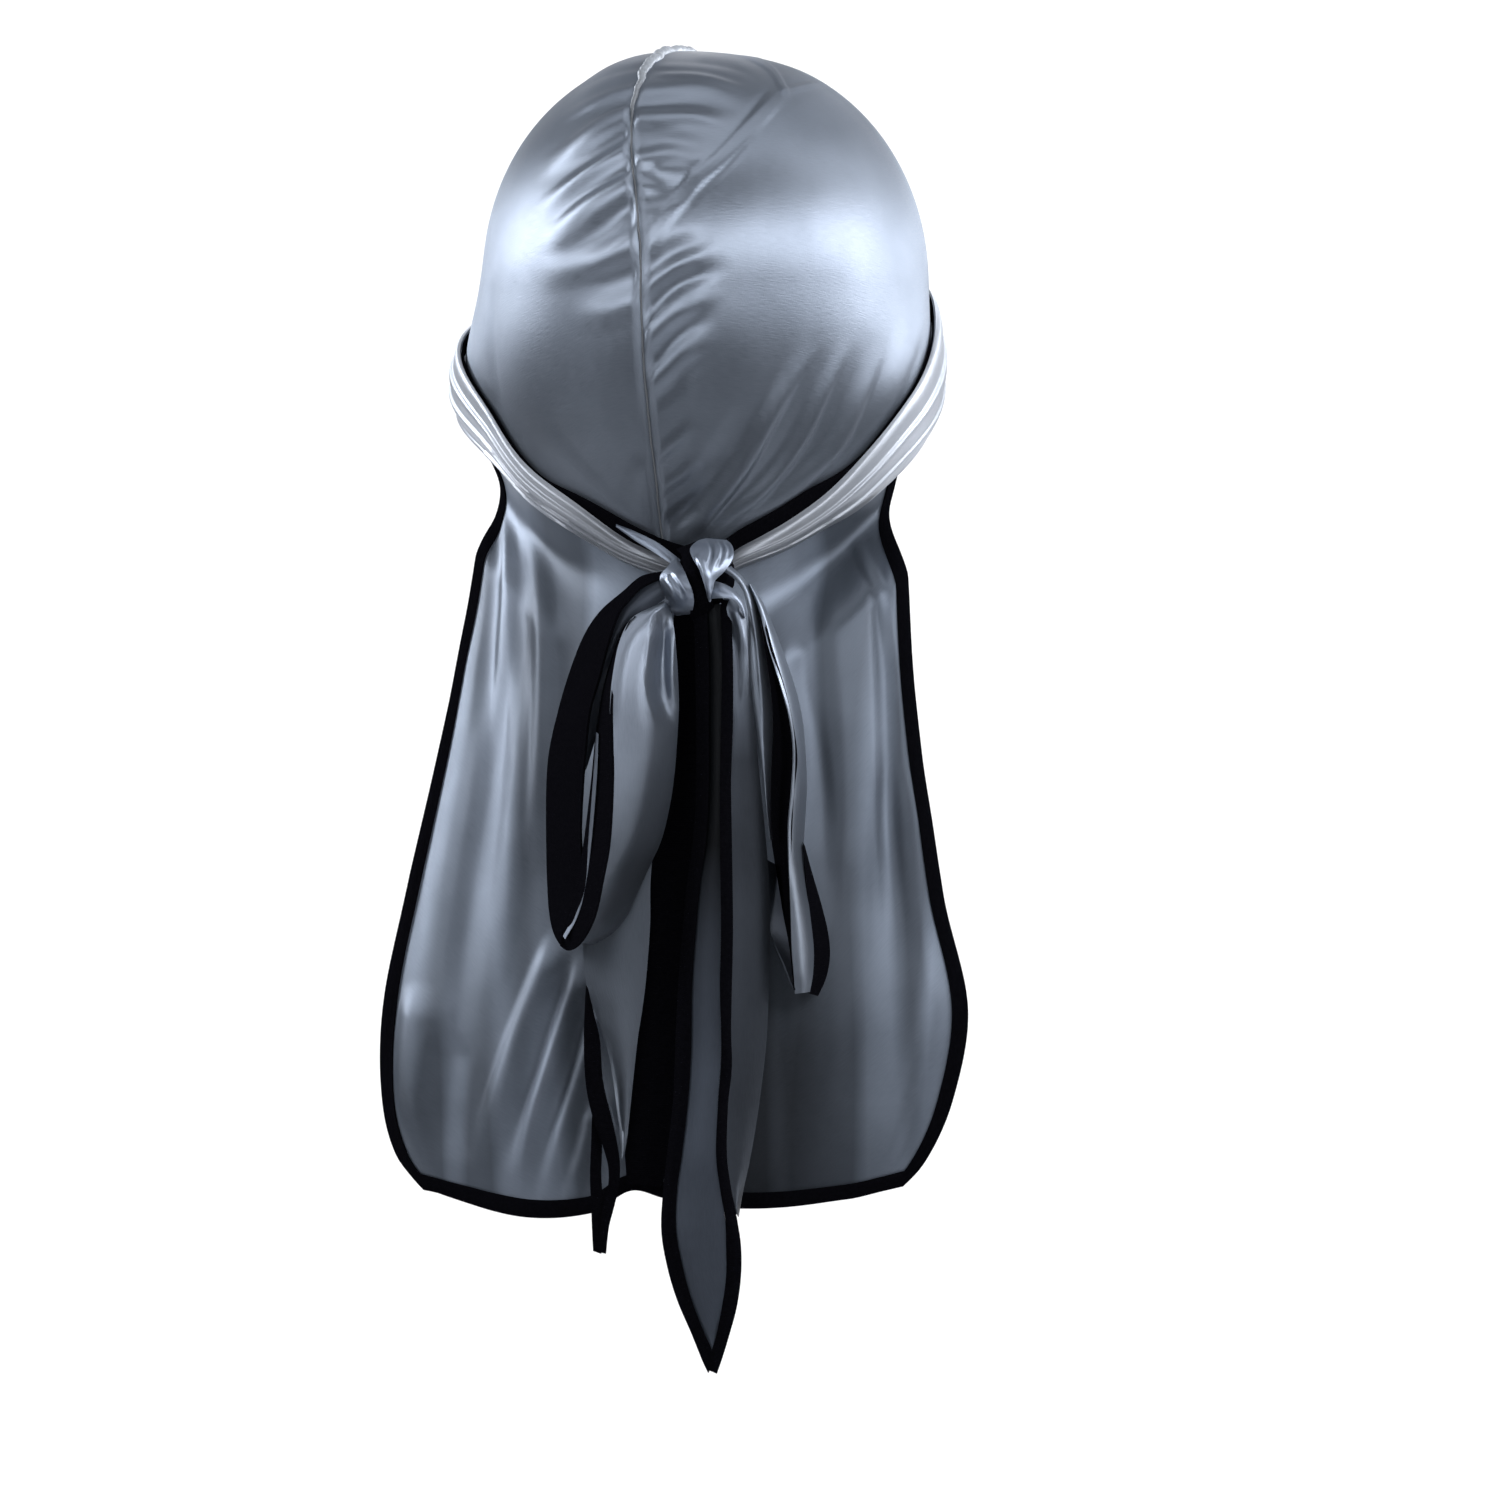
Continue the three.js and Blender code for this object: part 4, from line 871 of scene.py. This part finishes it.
# Ribbons in tenths of a millimetre. A row has the left and the right edge, across and down in the
# view, and how near each lies to the camera from the plane through the head's axis. Folds are as
# above. The swell, in metres, rounds a ribbon towards the camera.
NARROW = (90, 16)
RIBBONS = [
    # name, material, node, swell, counts, rows and folds
    ("loop_left_face", LOOP_SATIN_SHADED_BELOW, "loop_left", 0.003, (150, 60), [
        (-313, -536, -292, -526, 880, 860),
        (-353, -515, -284, -497, 920, 880),
        (-425, -475, -274, -439, 960, 880),
        (-468, -396, -266, -367, 1000, 880),
        (-493, -281, -259, -266, 1030, 880),
        (-504, -162, -256, -158, 1040, 870),
        (-500, -36, -263, -18, 1040, 860),
        (-497, 108, -274, 108, 1040, 850),
        (-500, 223, -292, 220, 1040, 840),
        (-511, 342, -320, 328, 1040, 830),
        (-533, 464, -364, 425, 1040, 810),
        (-554, 558, -400, 504, 1020, 800),
        (-576, 626, -446, 598, 990, 780),
        (-594, 670, -500, 662, 940, 760),
        (-612, 695, -562, 698, 880, 750),
    ], [
        (-50, 52, 0.1, 0, [-299, -526, -324, -396, -335, -252, -310, -137, -284, -43]),
        (30, 40, 0.2, 0, [-295, -518, -281, -396, -274, -216, -266, -108]),
        (16, 36, 0.3, 0, [-310, -518, -353, -360, -346, -216, -295, -122]),
        (22, 100, 0, 0, [-342, -504, -425, -360, -439, -180, -418, 36]),
    ]),
    ("loop_left_front_edge", TAPE, "loop_left_binding", 0, NARROW, [
        (-421, -482, -410, -482, 960, 970),
        (-461, -432, -439, -454, 950, 990),
        (-493, -346, -479, -346, 940, 1020),
        (-529, -223, -500, -187, 930, 1050),
        (-558, -36, -500, -36, 920, 1050),
        (-572, 108, -497, 108, 920, 1050),
        (-598, 324, -508, 324, 920, 1050),
        (-623, 468, -533, 468, 920, 1050),
        (-644, 551, -558, 587, 920, 1040),
        (-662, 612, -590, 662, 920, 1020),
        (-673, 648, -623, 706, 900, 980),
        (-670, 655, -655, 720, 880, 940),
        (-673, 644, -684, 702, 870, 920),
    ]),
    ("loop_left_outer", TAPE, None, 0.001, NARROW, [
        (-313, -644, -324, -619, 800, 900),
        (-392, -626, -392, -587, 800, 940),
        (-461, -569, -446, -533, 800, 960),
        (-540, -500, -479, -486, 780, 960),
        (-601, -407, -511, -392, 760, 960),
        (-655, -266, -544, -266, 740, 950),
        (-695, -126, -580, -137, 720, 940),
        (-724, 7, -594, -7, 710, 930),
        (-734, 144, -605, 130, 700, 920),
        (-734, 324, -612, 295, 700, 910),
        (-731, 468, -608, 439, 700, 900),
        (-724, 580, -634, 562, 710, 890),
        (-709, 655, -662, 634, 730, 880),
        (-680, 706, -662, 655, 780, 890),
        (-652, 720, -652, 659, 830, 900),
    ]),
    ("loop_left_back", INNER_SATIN_PAINTED_SHADE, None, 0.001, NARROW, [
        (-313, -619, -306, -544, 890, 900),
        (-392, -587, -367, -504, 910, 920),
        (-446, -533, -425, -475, 920, 920),
        (-482, -475, -464, -403, 910, 900),
        (-511, -385, -493, -320, 900, 880),
        (-547, -266, -522, -238, 890, 860),
        (-580, -137, -547, -79, 880, 840),
        (-594, -29, -572, 14, 880, 840),
        (-598, 43, -590, 72, 880, 850),
    ]),
    ("loop_left_inside", SATIN, None, 0, NARROW, [
        (-554, -65, -547, -58, 940, 960),
        (-565, 108, -554, 108, 940, 970),
        (-583, 324, -572, 328, 940, 970),
        (-605, 490, -594, 497, 940, 970),
        (-634, 590, -623, 601, 940, 970),
        (-673, 670, -666, 680, 920, 940),
    ]),
    ("knot_wrap_left_cloth", SATIN, "knot_wrap_left", 0.002, (60, 30), [
        (-281, -684, -259, -691, 760, 760),
        (-295, -662, -245, -662, 850, 880),
        (-320, -634, -234, -641, 900, 960),
        (-324, -605, -223, -612, 910, 990),
        (-313, -569, -209, -576, 910, 1000),
        (-295, -533, -202, -540, 890, 980),
        (-284, -500, -205, -508, 840, 930),
        (-270, -482, -212, -490, 760, 820),
    ], [
        (12, 20, 0.3, 0, [-317, -626, -281, -576, -259, -526]),
        (-10, 14, 0, 0, [-295, -641, -252, -583, -230, -526]),
    ]),
    ("knot_wrap_right_cloth", SATIN, "knot_wrap_right", 0.003, (80, 48), [
        (-158, -763, -83, -756, 740, 740),
        (-191, -752, -65, -738, 860, 840),
        (-216, -724, -58, -709, 940, 900),
        (-205, -688, -68, -677, 1000, 930),
        (-184, -652, -94, -641, 1020, 960),
        (-169, -608, -126, -608, 1020, 970),
        (-158, -569, -133, -569, 990, 960),
        (-151, -533, -140, -533, 920, 920),
    ], [
        (-16, 13, 0.3, 0, [-158, -763, -140, -727, -144, -684, -158, -641]),
        (-13, 11, 0.3, 0, [-122, -763, -101, -727, -108, -684, -133, -641]),
        (-10, 10, 0.3, 0, [-94, -752, -76, -720, -86, -684]),
        (14, 20, 0.2, 0, [-194, -713, -173, -662, -151, -583]),
    ]),
    ("knot_middle", TAPE, None, 0.002, (60, 24), [
        (-266, -724, -180, -756, 760, 780),
        (-248, -702, -180, -727, 880, 900),
        (-241, -662, -162, -677, 940, 960),
        (-230, -612, -148, -619, 960, 970),
        (-216, -554, -137, -562, 950, 950),
        (-216, -497, -130, -511, 900, 900),
        (-209, -446, -130, -461, 840, 840),
    ]),
    ("knot_side_band", SATIN, None, 0.001, (60, 16), [
        (-140, -612, -140, -544, 940, 960),
        (-101, -601, -101, -547, 950, 980),
        (-65, -583, -68, -544, 950, 980),
        (-36, -554, -50, -533, 940, 970),
        (-18, -518, -36, -511, 930, 950),
        (-11, -475, -22, -475, 920, 930),
    ]),
    ("strand_flap", STRAND_SATIN, "tail_pointed", 0.001, (160, 24), [
        (-101, -551, -47, -540, 900, 900),
        (-86, -511, -25, -511, 920, 910),
        (-76, -461, -14, -468, 930, 910),
        (-68, -360, -7, -367, 940, 910),
        (-65, -216, 0, -216, 940, 910),
        (-61, -72, 18, -86, 940, 900),
        (-68, 108, 36, 108, 940, 890),
        (-72, 288, 54, 288, 940, 880),
        (-68, 468, 68, 468, 930, 870),
        (-65, 637, 72, 637, 930, 870),
        (-68, 828, 68, 846, 930, 870),
        (-72, 1008, 61, 1026, 930, 870),
        (-76, 1152, 47, 1170, 930, 870),
        (-83, 1296, 25, 1332, 930, 870),
        (-83, 1454, 0, 1476, 930, 880),
        (-68, 1584, -25, 1591, 930, 890),
        (-50, 1670, -40, 1681, 930, 910),
    ], [
        (18, 30, 0.3, 0, [-65, -526, -29, -425, -22, -324]),
        (-14, 26, 0, 0, [-79, -497, -50, -324, -43, -108]),
    ]),
    ("tail_face", DEEP_SATIN, None, 0.0006, (160, 20), [
        (-158, -526, -101, -526, 890, 900),
        (-151, -324, -97, -324, 920, 940),
        (-151, -108, -101, -108, 940, 960),
        (-151, 108, -104, 108, 950, 970),
        (-162, 324, -104, 324, 950, 970),
        (-184, 479, -104, 479, 950, 970),
        (-198, 637, -104, 637, 950, 970),
        (-212, 846, -108, 846, 950, 970),
        (-216, 1080, -104, 1080, 940, 960),
        (-227, 1260, -115, 1260, 940, 960),
        (-248, 1454, -119, 1454, 940, 960),
        (-266, 1584, -104, 1584, 930, 950),
        (-270, 1728, -86, 1728, 930, 940),
        (-248, 1850, -83, 1858, 920, 930),
        (-216, 1976, -94, 1980, 910, 920),
        (-169, 2095, -115, 2099, 900, 900),
        (-140, 2160, -130, 2160, 900, 900),
    ]),
    ("tail_left_edge", TAPE, "tail_pointed_edge_binding", 0.0005, NARROW, [
        (-202, -497, -155, -518, 880, 900),
        (-198, -324, -148, -324, 900, 930),
        (-194, -108, -148, -108, 920, 950),
        (-194, 108, -148, 108, 930, 960),
        (-205, 324, -158, 324, 930, 960),
        (-227, 479, -180, 479, 930, 960),
        (-241, 637, -194, 637, 930, 960),
        (-259, 846, -209, 846, 930, 960),
        (-270, 1080, -212, 1080, 930, 950),
        (-277, 1260, -223, 1260, 930, 950),
        (-299, 1454, -245, 1454, 930, 950),
        (-313, 1584, -263, 1584, 920, 940),
        (-320, 1728, -266, 1728, 920, 940),
        (-299, 1858, -245, 1850, 910, 930),
        (-263, 1980, -212, 1976, 900, 920),
        (-212, 2099, -166, 2095, 900, 910),
        (-173, 2196, -137, 2160, 890, 910),
        (-151, 2243, -130, 2203, 890, 900),
    ]),
    ("tail_right_edge", TAPE, "tail_pointed_flap_binding", 0.0005, NARROW, [
        (-104, -540, -68, -540, 910, 910),
        (-101, -324, -61, -324, 950, 950),
        (-104, -108, -61, -108, 970, 960),
        (-108, 108, -68, 108, 980, 960),
        (-108, 324, -65, 324, 980, 960),
        (-104, 637, -61, 637, 980, 960),
        (-108, 846, -65, 846, 980, 960),
        (-104, 1008, -68, 1008, 980, 960),
        (-104, 1134, -65, 1145, 970, 960),
        (-115, 1278, -79, 1278, 970, 950),
        (-122, 1454, -83, 1454, 970, 950),
        (-108, 1577, -68, 1577, 960, 940),
        (-90, 1685, -47, 1685, 950, 930),
        (-86, 1786, -32, 1786, 940, 930),
        (-86, 1894, -32, 1894, 930, 920),
        (-101, 2005, -47, 2005, 920, 910),
        (-122, 2110, -72, 2099, 910, 910),
        (-144, 2182, -97, 2182, 910, 900),
        (-151, 2232, -119, 2246, 900, 900),
    ]),
    ("loop_right_back", LOOP_SATIN_SHADED_BELOW, None, 0.002, NARROW, [
        (-101, -648, -68, -662, 880, 860),
        (-54, -612, -29, -626, 880, 860),
        (-22, -562, 4, -572, 880, 850),
        (-7, -475, 29, -511, 870, 830),
        (-4, -328, 58, -342, 860, 810),
        (7, -202, 76, -209, 850, 800),
        (22, -86, 83, -101, 840, 790),
        (36, 22, 79, 25, 840, 790),
        (47, 122, 76, 122, 840, 790),
        (58, 234, 76, 234, 840, 790),
        (68, 317, 83, 324, 840, 790),
    ], [
        (12, 20, 0.2, 0, [-29, -605, 22, -432, 43, -216, 58, -36]),
    ]),
    ("loop_right_inner", TAPE, "loop_right_binding", 0, NARROW, [
        (-11, -590, 0, -587, 830, 860),
        (25, -526, 36, -504, 780, 880),
        (54, -367, 72, -367, 730, 900),
        (72, -216, 115, -230, 700, 910),
        (79, -101, 144, -108, 690, 920),
        (76, 25, 162, 25, 690, 920),
        (72, 144, 151, 144, 690, 920),
        (72, 266, 144, 266, 690, 920),
        (83, 367, 140, 396, 700, 920),
        (101, 479, 144, 504, 720, 920),
        (119, 590, 148, 590, 760, 920),
        (140, 702, 151, 702, 820, 910),
        (158, 864, 162, 864, 880, 900),
    ]),
    ("loop_right_face", LOOP_SATIN_SHADED_BELOW, "loop_right", 0.002, (120, 20), [
        (-7, -598, 7, -598, 860, 840),
        (32, -504, 54, -518, 880, 840),
        (68, -367, 108, -385, 900, 820),
        (112, -230, 155, -252, 920, 800),
        (144, -115, 184, -140, 930, 790),
        (158, 7, 198, -22, 930, 790),
        (151, 144, 205, 126, 930, 790),
        (140, 266, 198, 266, 930, 790),
        (140, 389, 194, 367, 930, 800),
        (144, 504, 205, 497, 930, 820),
        (148, 630, 220, 619, 930, 830),
        (151, 720, 230, 720, 930, 830),
        (158, 810, 227, 806, 920, 830),
        (162, 878, 216, 871, 890, 830),
    ]),
    ("loop_right_edge", TAPE, None, 0.0004, NARROW, [
        (191, 331, 198, 346, 830, 800),
        (198, 425, 223, 439, 830, 780),
        (209, 558, 256, 551, 830, 760),
        (220, 662, 281, 655, 830, 740),
        (227, 749, 288, 742, 830, 740),
        (223, 821, 274, 821, 830, 750),
        (209, 875, 245, 886, 830, 780),
    ]),
    ("loop_right_bottom", INNER_SATIN_PAINTED_SHADE, None, 0, NARROW, [
        (50, 389, 90, 410, 780, 720),
        (58, 486, 108, 486, 780, 700),
        (61, 558, 119, 565, 780, 700),
        (68, 637, 137, 648, 790, 710),
        (94, 706, 148, 713, 800, 720),
        (126, 778, 158, 785, 830, 770),
        (155, 857, 169, 864, 870, 830),
    ]),
    # painted shade: a black sheet put where the cape lies in deep shade between the left tail and the pointed
    # tail
    ("left_tail_reverse", TAPE, None, 0.0006, (80, 12), [
        (-288, -569, -158, -569, 790, 790),
        (-310, -396, -140, -396, 760, 770),
        (-346, -180, -137, -180, 730, 750),
        (-374, 180, -148, 180, 700, 730),
        (-396, 468, -166, 468, 695, 720),
        (-410, 684, -180, 684, 695, 720),
        (-425, 900, -205, 900, 695, 720),
        (-446, 1116, -223, 1116, 695, 720),
        (-461, 1260, -252, 1274, 695, 710),
        (-454, 1404, -281, 1411, 695, 710),
        (-443, 1562, -317, 1573, 695, 700),
    ]),
    ("left_tail_face", LOOP_SATIN_SHADED_BELOW, "tail_left", 0.001, (120, 20), [
        (-324, -511, -274, -490, 820, 820),
        (-418, -216, -288, -216, 760, 780),
        (-526, 180, -324, 180, 730, 760),
        (-583, 468, -356, 439, 720, 750),
        (-601, 695, -360, 637, 720, 750),
        (-587, 853, -374, 824, 720, 750),
        (-558, 943, -389, 943, 720, 750),
        (-533, 1033, -403, 1033, 720, 750),
        (-497, 1166, -418, 1166, 720, 750),
        (-479, 1300, -432, 1300, 720, 750),
        (-468, 1404, -443, 1404, 730, 750),
        (-464, 1469, -457, 1476, 740, 750),
    ]),
    ("left_tail_facet", LOOP_SATIN_SHADED_BELOW, None, 0, NARROW, [
        (-554, 965, -544, 986, 740, 730),
        (-536, 1098, -508, 1102, 750, 730),
        (-526, 1220, -490, 1210, 750, 730),
        (-500, 1303, -479, 1296, 750, 730),
        (-482, 1368, -468, 1368, 750, 740),
    ]),
    ("left_tail_edge", TAPE, "tail_left_edge_binding", 0.0004, NARROW, [
        (-590, 846, -583, 857, 750, 740),
        (-594, 918, -565, 936, 760, 740),
        (-598, 1051, -540, 1044, 770, 750),
        (-594, 1170, -533, 1159, 770, 750),
        (-583, 1253, -518, 1246, 770, 750),
        (-562, 1336, -497, 1328, 770, 750),
        (-533, 1418, -479, 1411, 770, 760),
        (-511, 1498, -468, 1490, 770, 760),
        (-511, 1570, -472, 1570, 770, 760),
        (-529, 1642, -490, 1649, 770, 760),
        (-540, 1721, -508, 1721, 770, 760),
        (-547, 1807, -518, 1814, 770, 760),
    ]),
    ("left_tail_flap_edge", TAPE, "tail_left_flap_binding", 0, NARROW, [
        (-569, 1318, -547, 1332, 740, 740),
        (-572, 1418, -533, 1418, 740, 740),
        (-576, 1530, -536, 1530, 740, 750),
        (-572, 1645, -529, 1638, 740, 750),
        (-569, 1728, -533, 1728, 740, 750),
        (-565, 1804, -536, 1814, 740, 750),
    ]),
    ("strap_turnover", SATIN, None, 0.0004, NARROW, [
        (-482, -814, -482, -803, 640, 645),
        (-410, -785, -418, -756, 652, 660),
        (-342, -752, -353, -716, 664, 674),
        (-295, -720, -310, -688, 676, 690),
        (-245, -680, -259, -655, 700, 720),
    ]),
]


def ribbon(name, material, node, swell, counts, rows, folds=()):
    along, across = shares(*counts)
    table = [(i, *np.array(row) / TENTHS) for i, row in enumerate(rows)]
    key = along * (len(rows) - 1)
    left_across, left_down, right_across, right_down, left_near, right_near = [
        curve(table, column)(key) for column in range(1, 7)]
    seen_across = mix(left_across, right_across, across)
    seen_down = mix(left_down, right_down, across)
    near = mix(left_near, right_near, across) + swell * np.sin(np.pi * across)
    near = near + fold_lift(folds, seen_across, seen_down)
    points = placed(seen_across, seen_down, near)
    to_camera = np.array([math.sin(VIEW_TURN), -math.cos(VIEW_TURN), 0])
    sheet_piece(name, points, RIBBON_WALL, to_camera, material, node)


for row in RIBBONS:
    ribbon(*row)

knot_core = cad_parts["knot_core"].data
knot_core.materials.clear()
knot_core.materials.append(TAPE)


# Light, floor and camera

SWEEP_SIZE = 9
SWEEP_MIDDLE = (0, -1.5, -1.5)
SWEEP_HEIGHT = 6
SWEEP_BEND = 1.6

# Aims of the lights: the durag, and the white wall behind it
AT_DURAG = (0.0, -0.02, -0.2)
AT_WALL = (0.0, 2.9, -0.2)
LIGHTS = [
    # name, across, down, near, width, height, power, aim
    ("high_window", -0.1, -1.0, 1.5, 1.7, 0.7, 6, AT_DURAG),
    ("right_front_window", 1.25, -0.72, 0.80, 1.3, 0.5, 11, AT_DURAG),
    ("left_front_window", -1.15, -0.78, 0.95, 0.9, 0.5, 4, AT_DURAG),
    ("right_window", 1.5, -0.48, -0.25, 1.1, 0.7, 18, AT_DURAG),
    ("left_window", -1.45, -0.58, -0.30, 0.9, 0.8, 28, AT_DURAG),
    ("ceiling_window", 0.2, -1.8, 0.35, 1.4, 1.0, 9, AT_DURAG),
    ("sweep_light_left", -2.2, -1.0, -0.6, 1.5, 2.5, 85, AT_WALL),
    ("sweep_light_right", 2.2, -1.0, -0.6, 1.5, 2.5, 85, AT_WALL),
]


def soft_light(name, across, down, near, width, height, power, aim):
    data = bpy.data.lights.new(name, "AREA")
    data.shape = "RECTANGLE"
    data.size, data.size_y = width, height
    data.energy = power
    lamp = bpy.data.objects.new(name, data)
    bpy.context.collection.objects.link(lamp)
    lamp.location = placed_vector(across, down, near)
    lamp.rotation_euler = (Vector(aim) - lamp.location).to_track_quat("-Z", "Y").to_euler()


def studio():
    """Floor of white paper that bends up into a wall behind the durag."""
    bpy.ops.object.select_all(action="DESELECT")
    bpy.ops.mesh.primitive_plane_add(size=1)
    sweep = bpy.context.object
    sweep.name = "studio_sweep"
    bpy.ops.object.mode_set(mode="EDIT")
    bpy.ops.mesh.select_all(action="SELECT")
    bpy.ops.transform.resize(value=(SWEEP_SIZE, SWEEP_SIZE, 1))
    bpy.ops.transform.translate(value=SWEEP_MIDDLE)
    bpy.ops.mesh.select_mode(type="EDGE")
    bpy.ops.object.mode_set(mode="OBJECT")
    back = SWEEP_MIDDLE[1] + SWEEP_SIZE / 2 - 0.01
    for edge in sweep.data.edges:
        edge.select = min(sweep.data.vertices[v].co.y for v in edge.vertices) > back
    for face in sweep.data.polygons:
        face.select = False
    bpy.ops.object.mode_set(mode="EDIT")
    bpy.ops.mesh.extrude_region_move(TRANSFORM_OT_translate={"value": (0, 0, SWEEP_HEIGHT)})
    bpy.ops.mesh.select_all(action="SELECT")
    bpy.ops.mesh.remove_doubles(threshold=0.001)
    bpy.ops.object.mode_set(mode="OBJECT")
    bevel = sweep.modifiers.new("Sweep", "BEVEL")
    bevel.width = SWEEP_BEND
    bevel.segments = 16
    bpy.ops.object.modifier_apply(modifier="Sweep")
    bpy.ops.object.shade_smooth()
    material, tree, surface = shader("Pale studio paper", (0.93, 0.93, 0.94), roughness=0.9, metallic=0.0)
    grain = noise_of(tree, places(tree)["Object"], scale=40, detail=2)
    fill(tree, surface, {"Normal": bump(tree, grain, distance=0.0005, strength=0.05)})
    sweep.data.materials.append(material)


studio()
for light in LIGHTS:
    soft_light(*light)

world = bpy.data.worlds.new("Dim studio")
bpy.context.scene.world = world
world.use_nodes = True
fill(world.node_tree, world.node_tree.nodes["Background"],
     {"Color": (0.2, 0.21, 0.23, 1), "Strength": 0.12})

bpy.context.scene.view_settings.view_transform = "Standard"
camera_data = bpy.data.cameras.new("Camera")
camera = bpy.data.objects.new("Camera", camera_data)
bpy.context.collection.objects.link(camera)
bpy.context.scene.camera = camera
camera_data.sensor_width = 36
camera_data.lens = camera_data.sensor_width * VIEW_DISTANCE / VIEW_WIDTH
to_camera = Vector((math.sin(VIEW_TURN), -math.cos(VIEW_TURN), 0))
camera.location = placed_vector(0.0, 0.0, 0.0) + VIEW_DISTANCE * to_camera
camera.rotation_euler = Euler((math.pi / 2, 0, VIEW_TURN))
